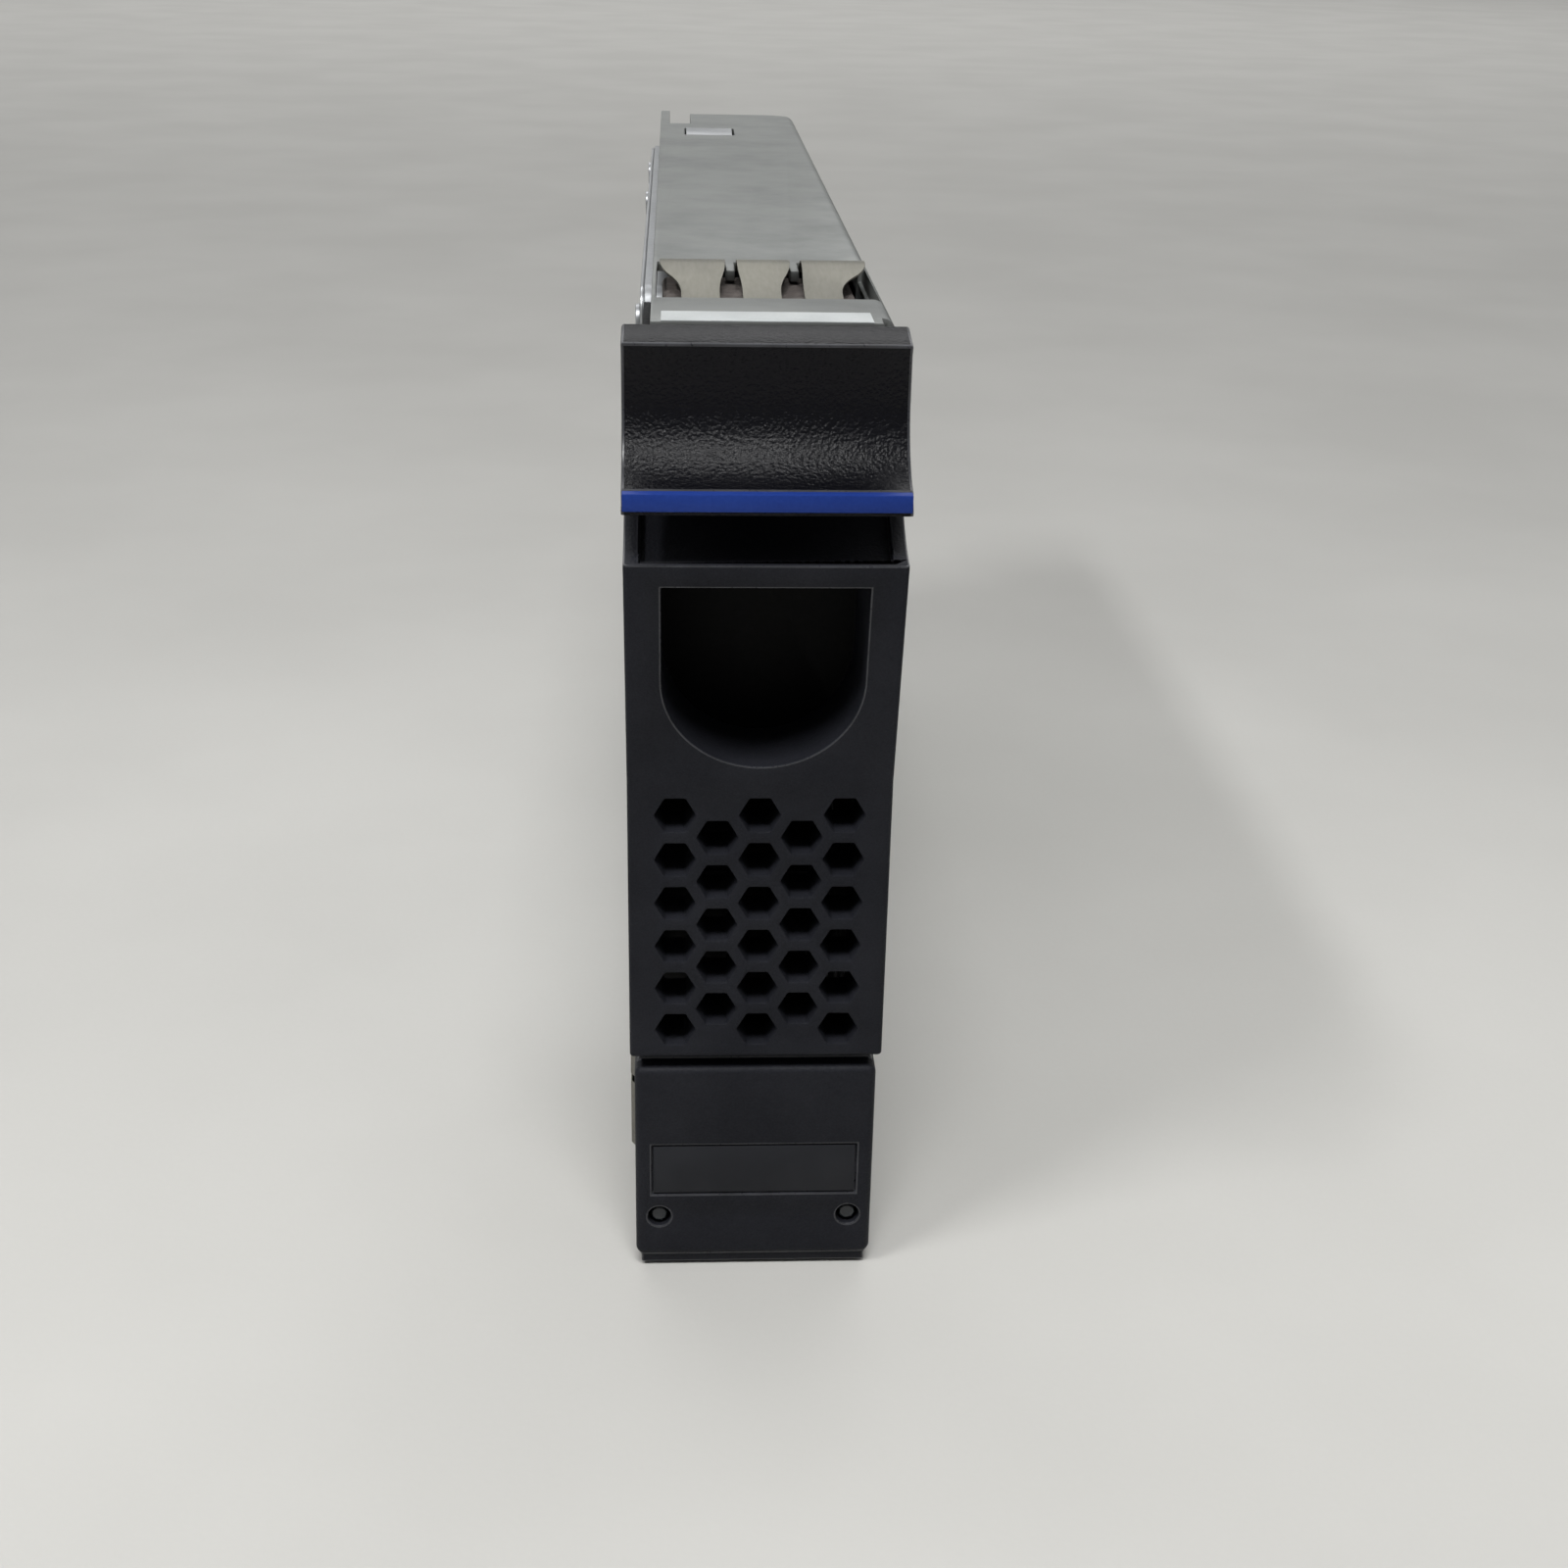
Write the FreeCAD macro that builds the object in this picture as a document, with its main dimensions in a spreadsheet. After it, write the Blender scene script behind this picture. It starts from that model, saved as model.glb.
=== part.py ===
import FreeCAD, Part
import math
import os
import Sketcher

# A disk drive in its plug-in carrier, standing on its lower edge as it stands in a shelf.
# X runs to the right, Y to the back and Z up, in millimetres. The grille face is the plane Y = 0
# while the pieces are drawn. At the end each piece moves forward by half the depth, which puts
# the origin under the middle of the whole part.

doc = FreeCAD.newDocument("hard_drive_in_caddy")
sheet = doc.addObject("Spreadsheet::Sheet", "Dims")

dimensions = {
    # clearances and seats
    "fit_gap": 0.05,
    "clear_gap": 0.3,
    # handle: a curved lever with a thumb scoop above a forward lip
    "handle_width": 28.5,
    "handle_rise": 0.5,
    "brow_fall": 1.05,
    "handle_depth": 4.75,
    "handle_wall": 2.25,
    "handle_flange": 1.5,
    "handle_rib": 1.5,
    "face_setback": 0.5,
    "brow_drop": 1.2,
    "scoop_radius": 8.0,
    "scoop_fall": 6.45,
    "lip_reach": 6.2,
    "lip_gauge": 2.056,
    "strip_depth": 0.8,
    "strip_border": 0.1,
    "strip_base_edge": 0.3,
    "pivot_inset": 0.15,
    "pivot_fall": 3.8,
    "pin_radius": 0.9,
    "pin_end_cover": 0.5,
    "knuckle_radius": 1.55,
    "rib_knuckle_radius": 1.9,
    "post_inner": 8.0,
    "post_width": 2.5,
    # release catch behind the lip
    "catch_width": 10.0,
    "catch_gauge": 1.65,
    "catch_lift": 0.2,
    "catch_height": 5.3,
    "catch_pad_gauge": 1.2,
    "catch_pad_reach": 4.1,
    "catch_nose_width": 6.0,
    "catch_nose_rise": 2.4,
    "catch_nose_gauge": 1.4,
    "catch_travel": 1.5,
    "guide_gauge": 1.2,
    "guide_lip": 1.1,
    "guide_back_gauge": 0.9,
    "guide_rise": 2.0,
    "guide_shelf_gauge": 1.0,
    "spring_gauge": 0.25,
    "spring_span": 8.4,
    "spring_width": 1.2,
    "shelf_pin_gap": 0.6,
    # front bezel: grille below, forward-leaning face with the finger hole above
    "bezel_inset": 0.1,
    "bezel_gap": 1.65,
    "grille_height": 33.5,
    "finger_gap": 5.1,
    "crest_reach": 6.15,
    "bezel_wall": 2.0,
    "grille_depth": 6.0,
    "bezel_side": 1.5,
    "bezel_floor": 1.2,
    "bezel_depth": 11.0,
    "bezel_edge_radius": 0.5,
    "bezel_corner_radius": 0.4,
    "recess_radius": 16.2,
    "recess_centre_reach": 8.35,
    "pocket_sink": 1.2,
    "pocket_wall": 1.8,
    "rim_fall": 4.6,
    "crest_bar": 2.5,
    "knee_sweep": 1.4,
    "cheek_sweep": 0.6,
    "grip_width": 20.9,
    "grip_drop": 2.5,
    "grip_rise": 12.5,
    "collar_wall": 1.2,
    "keeper_clear": 0.5,
    "keeper_drop": 0.8,
    "nose_bite": 0.8,
    "hex_foot": 3.58,
    "hex_bar": 1.35,
    "hex_drop": 3.77,
    # lower cap with the name plate recess and the two lamp holes
    "cap_inset": 0.58,
    "cap_setback": 0.3,
    "cap_lift": 0.3,
    "cap_height": 25.35,
    "cap_wall": 2.0,
    "cap_side": 1.5,
    "cap_edge_radius": 0.8,
    "cap_corner_radius": 1.0,
    "skirt_inset": 0.6,
    "skirt_setback": 0.5,
    "skirt_lift": 0.25,
    "tongue_width": 26.5,
    "tongue_front": 2.6,
    "tongue_back": 8.0,
    "plate_width": 23.6,
    "plate_rise": 8.47,
    "plate_height": 6.68,
    "plate_recess": 0.45,
    "plate_gauge": 0.35,
    "plate_gap": 0.2,
    "lamp_offset": 10.95,
    "lamp_rise": 5.45,
    "lamp_hole_radius": 1.34,
    # light pipes that run back under the drive
    "pipe_radius": 0.95,
    "pipe_sink": 0.5,
    "pipe_lead": 3.2,
    "pipe_bend_run": 12.0,
    "pipe_bend_radius": 12.0,
    "lamp_gap": 0.2,
    "lamp_gauge": 0.8,
    "lamp_side": 2.0,
    # folded steel tray: web on the right, top and bottom flanges
    "tray_gauge": 1.2,
    "roof_gap": 2.2,
    "tray_left": 11.5,
    "tray_right": 13.6,
    "rear_room": 20.0,
    "tray_bend": 1.5,
    "roof_sweep": 3.7,
    "window_setback": 9.7,
    "window_length": 23.0,
    "window_left": 11.0,
    "window_right": 12.9,
    "rail_rib_width": 1.0,
    "rail_rib_left": 2.65,
    "rail_rib_right": 4.67,
    "rail_rib_length": 6.0,
    "slot_setback": 35.5,
    "slot_length": 11.0,
    "slot_left": 7.2,
    "slot_right": 1.6,
    "flap_drop": 1.4,
    "notch_length": 17.0,
    "notch_left": 9.87,
    "notch_right": 6.05,
    "tab_reach": 5.5,
    "rear_corner_radius": 6.0,
    "vent_rise": 13.1,
    "vent_fall": 13.5,
    "vent_margin": 10.0,
    "vent_rear_margin": 9.0,
    "vent_bar": 8.0,
    "vent_corner": 6.0,
    "ear_width": 6.0,
    "ear_height": 10.0,
    "ear_rise": 12.4,
    "ear_fall": 16.0,
    "label_width": 21.5,
    "label_left": 10.4,
    "label_depth": 5.0,
    "label_gauge": 0.1,
    # sprung contact strips round the front end
    "contact_gauge": 0.25,
    "contact_root": 4.2,
    "contact_pitch": 6.7,
    "contact_middle": 0.5,
    "contact_crest": 1.2,
    "contact_crest_inset": 6.5,
    "contact_crest_radius": 10.0,
    "contact_lead": 1.6,
    "contact_trail": 3.5,
    "contact_tip_gap": 1.3,
    "contact_tip_drop": 0.7,
    "contact_foot_length": 7.5,
    "contact_neck": 5.5,
    "contact_blade": 6.5,
    "side_contact_gauge": 0.2,
    "side_contact_bow": 1.7,
    "web_contact_bow": 0.35,
    "side_contact_setback": 1.4,
    "side_contact_foot": 2.8,
    "side_contact_rise": 3.0,
    "side_contact_flat": 3.0,
    "side_contact_fall": 8.5,
    "side_contact_drop": 0.5,
    "side_contact_slit": 1.0,
    # screen plate behind the bezel
    "screen_gauge": 0.8,
    "screen_left": 12.6,
    "screen_roof_gap": 0.4,
    "screen_drive_gap": 0.6,
    "screen_flange_rise": 12.5,
    "screen_flange_fall": 3.3,
    "screen_slot_width": 3.2,
    "screen_slot_rise": 3.2,
    "screen_slot_fall": 3.0,
    "screen_slot_bar": 2.0,
    "screen_pipe_gap": 0.25,
    "bezel_screw_radius": 1.0,
    "bezel_screw_head": 1.9,
    "bezel_screw_head_gauge": 1.2,
    "bezel_screw_length": 6.0,
    "boss_radius": 1.7,
    "crease_boss_offset": 9.4,
    "crease_boss_rise": 0.3,
    "base_boss_rise": 1.7,
    "cap_boss_offset": 9.0,
    "cap_boss_fall": 5.35,
    "rivet_setback": 16.2,
    "rivet_radius": 1.6,
    "rivet_head": 2.4,
    "rivet_head_gauge": 0.5,
    "rivet_margin": 8.0,
    # the drive: body of a three-and-a-half-inch disk drive
    "drive_setback": 1.5,
    "rim_front": 6.5,
    "rim_edge": 3.3,
    "drive_gauge": 25.4,
    "drive_left": 13.6,
    "drive_lift": 2.7,
    "drive_corner": 3.0,
    "cover_rim_gauge": 0.5,
    "cover_rise": 0.5,
    "cover_inset": 8.0,
    "cover_plateau_corner": 9.0,
    "gasket_gauge": 0.4,
    "gasket_width": 1.0,
    "chamber_depth": 16.1,
    "chamber_floor": 4.1,
    "disc_rim_gap": 1.3,
    "bay_reach": 16.0,
    "rear_wall": 5.5,
    "bay_edge": 8.0,
    "bay_corner": 5.0,
    "drive_screw_back": 41.28,
    "drive_screw_step": 44.45,
    "drive_screw_edge": 3.175,
    "drive_screw_radius": 1.65,
    "drive_screw_head": 3.0,
    "drive_screw_bite": 5.0,
    "seat_radius": 3.6,
    "cover_screw_radius": 0.9,
    "cover_screw_head": 1.9,
    "cover_screw_head_gauge": 0.6,
    "cover_screw_bite": 5.0,
    "cover_screw_edge": 4.6,
    "cover_screw_step": 50.0,
    # circuit board of the drive
    "board_gauge": 1.2,
    "board_reach": 8.0,
    "board_rear_gap": 8.0,
    "board_edge": 9.0,
    "board_standoff": 1.8,
    "board_screw_radius": 0.9,
    "board_screw_head": 1.8,
    "board_screw_head_gauge": 0.7,
    "board_screw_edge": 4.0,
    "board_screw_bite": 1.5,
    "board_boss_radius": 2.6,
    "chip_gauge": 1.3,
    "main_chip_side": 14.0,
    "main_chip_step": 5.0,
    "main_chip_rise": 13.2,
    "memory_chip_length": 12.0,
    "memory_chip_width": 9.0,
    "memory_chip_step": 14.0,
    "memory_chip_rise": 21.2,
    "motor_chip_side": 9.0,
    "motor_chip_step": 22.0,
    "motor_chip_drop": 20.8,
    # plug of the drive and the bridge card behind it
    "plug_low": 16.0,
    "plug_length": 42.0,
    "plug_depth": 9.0,
    "plug_back_wall": 3.4,
    "plug_tongue_gauge": 1.2,
    "plug_tongue_inset": 0.8,
    "plug_tongue_margin": 3.0,
    "data_tongue_length": 10.4,
    "power_tongue_length": 20.6,
    "plug_thickness": 5.0,
    "plug_board_gap": 0.2,
    "socket_entry": 4.6,
    "socket_margin": 1.2,
    "card_back": 8.0,
    "card_gauge": 1.6,
    "card_lift": 0.4,
    "card_fall": 1.5,
    "card_left": 11.2,
    "card_web_gap": 0.4,
    "card_screw_radius": 1.2,
    "card_screw_head": 2.3,
    "card_screw_head_gauge": 1.4,
    "shelf_plug_width": 8.0,
    "shelf_plug_height": 52.0,
    "shelf_plug_depth": 10.5,
    "shelf_plug_rise": 1.3,
    "shelf_plug_shift": 2.0,
    "shelf_plug_wall": 1.4,
    "shelf_plug_well": 6.0,
    "shelf_plug_tongue": 2.2,
    # discs on their spindle
    "disc_radius": 47.5,
    "disc_bore": 12.5,
    "disc_gauge": 1.27,
    "disc_gap": 2.0,
    "disc_floor_gap": 2.2,
    "hub_flange_radius": 16.0,
    "hub_flange_gauge": 1.5,
    "hub_well_radius": 9.6,
    "hub_roof": 3.0,
    "shaft_radius": 2.5,
    "shaft_top_gap": 0.8,
    "motor_bore_radius": 10.0,
    "motor_flange_radius": 14.0,
    "motor_flange_gauge": 1.0,
    "stator_inner": 4.0,
    "stator_outer": 9.0,
    "stator_gauge": 6.0,
    "clamp_radius": 16.0,
    "clamp_gauge": 1.2,
    "clamp_screw_ring": 9.0,
    "clamp_screw_radius": 1.0,
    "clamp_screw_head": 1.8,
    "clamp_screw_head_gauge": 0.6,
    "clamp_screw_bite": 1.8,
    # head stack on its pivot
    "arm_clearance": 8.5,
    "yoke_wall_gap": 0.5,
    "arm_drop_share": 0.2695,
    "arm_pivot_radius": 4.0,
    "arm_hub_radius": 8.0,
    "arm_pivot_top_gap": 0.5,
    "arm_gauge": 1.0,
    "arm_share": 0.6737,
    "arm_root_width": 11.0,
    "arm_tip_width": 5.0,
    "arm_angle": 109.3,
    "blade_gauge": 0.4,
    "blade_length": 13.0,
    "blade_root_width": 4.0,
    "blade_tip_width": 1.6,
    "coil_angle": 319.0,
    "coil_half_angle": 15.0,
    "coil_inner": 17.0,
    "coil_inset": 1.0,
    "coil_gauge": 2.6,
    "coil_wire_width": 3.2,
    "coil_stem_width": 9.0,
    "yoke_start_angle": 293.0,
    "yoke_end_angle": 383.0,
    "yoke_inner": 15.0,
    "yoke_share": 0.6526,
    "yoke_gauge": 2.6,
    "magnet_start_angle": 302.0,
    "magnet_end_angle": 372.0,
    "magnet_inner": 18.0,
    "magnet_inset": 1.5,
    "magnet_gauge": 2.0,
    "magnet_gap": 5.2,
    "yoke_post_radius": 1.8,
    "yoke_post_inset": 7.0,
    "yoke_post_margin": 4.5,
    "ramp_gap": 1.5,
    "ramp_length": 5.0,
    "ramp_width": 4.0,
    "ramp_height": 14.0,
    "filter_gap": 1.5,
    "filter_rise": 44.0,
    "filter_length": 8.0,
    "filter_width": 3.0,
    "filter_depth": 12.0,
}


class Size:
    """A length of the part, with the sheet formula that gives it."""

    def __init__(self, formula, number):
        self.formula = formula
        self.number = number

    def __add__(self, other):
        return worked_out(self, "+", other, self.number + number_of(other))

    def __radd__(self, other):
        return worked_out(other, "+", self, number_of(other) + self.number)

    def __sub__(self, other):
        return worked_out(self, "-", other, self.number - number_of(other))

    def __rsub__(self, other):
        return worked_out(other, "-", self, number_of(other) - self.number)

    def __mul__(self, other):
        return worked_out(self, "*", other, self.number * number_of(other))

    def __rmul__(self, other):
        return worked_out(other, "*", self, number_of(other) * self.number)

    def __truediv__(self, other):
        return worked_out(self, "/", other, self.number / number_of(other))

    def __neg__(self):
        return worked_out(0, "-", self, -self.number)


def number_of(value):
    return value.number if isinstance(value, Size) else float(value)


def formula_of(value):
    return value.formula if isinstance(value, Size) else f"({float(value)!r})"


def worked_out(left, sign, right, number):
    return Size(f"({formula_of(left)} {sign} {formula_of(right)})", number)


def root(value):
    return Size(f"sqrt({value.formula})", math.sqrt(value.number))


def cosine(degrees):
    return Size(f"cos({formula_of(degrees)})", math.cos(math.radians(number_of(degrees))))


def sine(degrees):
    return Size(f"sin({formula_of(degrees)})", math.sin(math.radians(number_of(degrees))))


def fill_sheet():
    for row, (alias, value) in enumerate(dimensions.items(), start=1):
        sheet.set(f"A{row}", alias)
        sheet.set(f"B{row}", str(value))
        sheet.setAlias(f"B{row}", alias)
    doc.recompute()


def size(alias):
    return Size(f"Dims.{alias}", float(sheet.get(alias)))


def bind(item, path, value):
    item.setExpression(path, formula_of(value))


def new_item(kind, name):
    return doc.addObject(kind, name)


def block(name, x, y, z):
    """A box between two values on each axis."""
    item = new_item("Part::Box", name)
    for side, axis, span in (("Length", "x", x), ("Width", "y", y), ("Height", "z", z)):
        bind(item, side, span[1] - span[0])
        bind(item, f"Placement.Base.{axis}", span[0])
    return item


AXIS_TURNS = {
    "x": FreeCAD.Rotation(FreeCAD.Vector(1, 1, 1), 120),
    "y": FreeCAD.Rotation(FreeCAD.Vector(1, 0, 0), -90),
    "z": FreeCAD.Rotation(),
}


def stand(item, axis, at):
    item.Placement = FreeCAD.Placement(FreeCAD.Vector(), AXIS_TURNS[axis])
    for name, value in zip("xyz", at):
        bind(item, f"Placement.Base.{name}", value)
    return item


def rod(name, axis, at, length, radius):
    """A cylinder that starts at a point and runs along an axis."""
    item = new_item("Part::Cylinder", name)
    bind(item, "Radius", radius)
    bind(item, "Height", length)
    return stand(item, axis, at)


def taper(name, axis, at, length, first_radius, last_radius):
    item = new_item("Part::Cone", name)
    bind(item, "Radius1", first_radius)
    bind(item, "Radius2", last_radius)
    bind(item, "Height", length)
    return stand(item, axis, at)


def hexagon(name, at, length, flat):
    """A six-sided prism along Y with flats above and below."""
    item = new_item("Part::Prism", name)
    item.Polygon = 6
    bind(item, "Circumradius", flat / root(Size("3", 3.0)))
    bind(item, "Height", length)
    return stand(item, "y", at)


def united(name, pieces):
    item = new_item("Part::MultiFuse", name)
    item.Shapes = pieces
    item.Refine = True
    return item


def grouped(name, pieces):
    item = new_item("Part::Compound", name)
    item.Links = pieces
    return item


def cut(name, base, tools):
    item = new_item("Part::Cut", name)
    item.Base = base
    item.Tool = tools[0] if len(tools) == 1 else grouped(f"{name}_tools", tools)
    return item


def shared(name, first, second):
    item = new_item("Part::Common", name)
    item.Base = first
    item.Tool = second
    return item


def place_vertex(sketch, geometry, end, vertex):
    for kind, value in (("DistanceX", vertex[0]), ("DistanceY", vertex[1])):
        rule = sketch.addConstraint(Sketcher.Constraint(kind, -1, 1, geometry, end, number_of(value)))
        bind(sketch, f"Constraints[{rule}]", value)


def arc_between(start, end, radius):
    """The shorter arc between two points, turning left when the radius is positive."""
    chord = end - start
    half = chord.Length / 2
    rise = math.sqrt(max(radius * radius - half * half, 0.0))
    left = FreeCAD.Vector(-chord.y, chord.x, 0).normalize()
    centre = (start + end) * 0.5 + left * math.copysign(rise, radius)
    first, last = (start, end) if radius > 0 else (end, start)
    circle = Part.Circle(centre, FreeCAD.Vector(0, 0, 1), abs(radius))
    first_angle = math.atan2(first.y - centre.y, first.x - centre.x)
    last_angle = math.atan2(last.y - centre.y, last.x - centre.x)
    return Part.ArcOfCircle(circle, first_angle, last_angle)


def outline(sketch, vertices):
    """Draw a closed outline through vertices. A third value bends the run that ends there."""
    first = sketch.GeometryCount
    ends = []
    for index, vertex in enumerate(vertices):
        before = vertices[index - 1]
        start = FreeCAD.Vector(number_of(before[0]), number_of(before[1]), 0)
        end = FreeCAD.Vector(number_of(vertex[0]), number_of(vertex[1]), 0)
        if len(vertex) == 3:
            radius = number_of(vertex[2])
            sketch.addGeometry(arc_between(start, end, radius))
            ends.append((1, 2) if radius > 0 else (2, 1))
            rule = sketch.addConstraint(Sketcher.Constraint("Radius", first + index, abs(radius)))
            bind(sketch, f"Constraints[{rule}]", vertex[2] if radius > 0 else -vertex[2])
        else:
            sketch.addGeometry(Part.LineSegment(start, end))
            ends.append((1, 2))
    count = len(vertices)
    for index in range(count):
        following = (index + 1) % count
        sketch.addConstraint(Sketcher.Constraint(
            "Coincident", first + index, ends[index][1], first + following, ends[following][0]))
    for index, vertex in enumerate(vertices):
        place_vertex(sketch, first + index, ends[index][1], vertex)


def circle(sketch, centre, radius):
    ring = Part.Circle(FreeCAD.Vector(number_of(centre[0]), number_of(centre[1]), 0),
                       FreeCAD.Vector(0, 0, 1), number_of(radius))
    geometry = sketch.addGeometry(ring)
    place_vertex(sketch, geometry, 3, centre)
    rule = sketch.addConstraint(Sketcher.Constraint("Radius", geometry, number_of(radius)))
    bind(sketch, f"Constraints[{rule}]", radius)


PLANES = {"x": "YZ_Plane", "y": "XZ_Plane", "z": "XY_Plane"}


def new_sketch(body, name, axis, level):
    """A sketch across an axis at a level. Across Y it faces forward, so its offset is reversed."""
    sketch = body.newObject("Sketcher::SketchObject", name)
    plane = next(item for item in body.Origin.OriginFeatures if item.Role == PLANES[axis])
    sketch.AttachmentSupport = [(plane, "")]
    sketch.MapMode = "FlatFace"
    bind(sketch, "AttachmentOffset.Base.z", -level if axis == "y" else level)
    return sketch


def extruded(name, axis, span, *outlines):
    """A body padded along an axis between two values, from closed outlines or circles."""
    body = new_item("PartDesign::Body", name)
    sketch = new_sketch(body, f"{name}_sketch", axis, span[1] if axis == "y" else span[0])
    for drawn in outlines:
        if isinstance(drawn, dict):
            circle(sketch, drawn["centre"], drawn["radius"])
        else:
            outline(sketch, drawn)
    pad = body.newObject("PartDesign::Pad", f"{name}_pad")
    pad.Profile = sketch
    bind(pad, "Length", span[1] - span[0])
    return body


def rounded(body, radius, wanted):
    """Fillet the edges of a body that the test picks by their two ends."""
    doc.recompute()
    feature = body.Tip
    names = []
    for index, edge in enumerate(feature.Shape.Edges, start=1):
        if len(edge.Vertexes) == 2 and wanted(edge.Vertexes[0].Point, edge.Vertexes[1].Point):
            names.append(f"Edge{index}")
    fillet = body.newObject("PartDesign::Fillet", f"{body.Name}_fillet")
    fillet.Base = (feature, names)
    bind(fillet, "Radius", radius)
    return body


def near(first, second):
    return abs(first - number_of(second)) < 0.001


def rounded_box(across, up, radius):
    """A rectangle between two values each way, with quarter-circle corners."""
    low_a, high_a = across
    low_u, high_u = up
    return [
        (high_a - radius, low_u),
        (high_a, low_u + radius, radius),
        (high_a, high_u - radius),
        (high_a - radius, high_u, radius),
        (low_a + radius, high_u),
        (low_a, high_u - radius, radius),
        (low_a, low_u + radius),
        (low_a + radius, low_u, radius),
    ]


def ring_sector(centre, inner, outer, start, end):
    """A sector of a ring about a centre, in degrees from the first axis."""
    def point(reach, angle):
        return centre[0] + reach * cosine(angle), centre[1] + reach * sine(angle)
    middle = (start + end) / 2
    return [
        point(outer, start),
        point(outer, middle) + (outer,),
        point(outer, end) + (outer,),
        point(inner, end),
        point(inner, middle) + (-inner,),
        point(inner, start) + (-inner,),
    ]


subparts = []


def subpart(label, item):
    """Name a finished piece and move it from the drawing plane to the part's own origin."""
    if item.TypeId in ("Part::Box", "Part::Cylinder"):
        item = grouped(f"{label}_piece", [item])
    item.Label = label
    bind(item, "Placement.Base.y", -depth_middle)
    subparts.append(item)


fill_sheet()
zero = Size("0", 0.0)
fit = size("fit_gap")
clear = size("clear_gap")

# Levels up the carrier and steps along it: each piece starts from the one that carries it
disc_radius = size("disc_radius")
drive_height = (disc_radius + size("rim_edge")) * 2
spindle_back = size("rim_front") + disc_radius
arm_pivot_back = spindle_back + disc_radius + size("arm_clearance")
yoke_outer = disc_radius * size("yoke_share")
bay_back = arm_pivot_back + yoke_outer + size("yoke_wall_gap")
drive_length = bay_back + size("rear_wall")
gauge = size("tray_gauge")
drive_low = gauge + size("drive_lift")
drive_high = drive_low + drive_height
drive_middle = (drive_low + drive_high) / 2
roof_under = drive_high + size("roof_gap")
tray_top = roof_under + gauge
handle_top = tray_top + size("handle_rise")
handle_brow = handle_top - size("brow_fall")
scoop_z = handle_top - size("scoop_fall")
pivot_z = handle_top - size("pivot_fall")
pocket_rim = pivot_z - size("rim_fall")
cap_base = gauge + size("cap_lift")
cap_top = cap_base + size("cap_height")
plate_base = cap_base + size("plate_rise")
plate_top = plate_base + size("plate_height")
lamp_height = cap_base + size("lamp_rise")
pipe_low_height = (gauge + drive_low) / 2
bezel_base = cap_top + size("bezel_gap")
crease_height = bezel_base + size("grille_height")
cheek_top = roof_under - clear
grip_centre = crease_height + size("grip_rise")
screen_base = cap_base
screen_top = roof_under - size("screen_roof_gap")
screen_flange_base = screen_base + size("screen_flange_rise")
screen_flange_top = screen_top - size("screen_flange_fall")
bezel_back = size("bezel_depth")
screen_back = bezel_back + size("screen_gauge")
pivot_y = size("handle_depth") - size("pivot_inset")
cheek_front = pivot_y + size("pivot_fall") + size("cheek_sweep")
cheek_knee = pivot_y + size("knee_sweep")
plate_front = pivot_y + size("roof_sweep")
window_front = screen_back + size("window_setback")
window_rear = window_front + size("window_length")
drive_front = window_rear + size("drive_setback")
drive_rear = drive_front + drive_length
tray_rear = drive_rear + size("rear_room")
tab_rear = tray_rear + size("tab_reach")
depth_middle = (tab_rear - size("lip_reach")) / 2

# Handle and its hinge
handle_half = size("handle_width") / 2
scoop = size("scoop_radius")
scoop_y = size("face_setback") - scoop
back_scoop = scoop + size("handle_wall")
wall_back = size("face_setback") + size("handle_wall")
lip_front = -size("lip_reach")
handle_span = (-handle_half, handle_half)


def below_centre(y, centre_y, centre_z, radius):
    """Height of the lower half of a circle at a depth."""
    return centre_z - root(radius * radius - (y - centre_y) * (y - centre_y))


strip_top = below_centre(lip_front, scoop_y, scoop_z, scoop)
strip_back = lip_front + size("strip_depth")
lip_base = strip_top - size("lip_gauge")
catch_base = lip_base + size("catch_lift")
catch_top = catch_base + size("catch_height")
nose_base = catch_base + size("catch_nose_rise")
guide_base = catch_base + size("guide_rise")
guide_roof = pivot_z - size("pin_radius") - size("shelf_pin_gap") - size("guide_shelf_gauge")
spring_rise = guide_roof - catch_top
lip_heel = scoop_y + root(back_scoop * back_scoop - (scoop_z - lip_base) * (scoop_z - lip_base))
flange_slope = (handle_top - handle_brow) / size("handle_depth")
flange_root = handle_brow + wall_back * flange_slope - size("handle_flange")
flange_end = handle_top - size("handle_flange")


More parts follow.
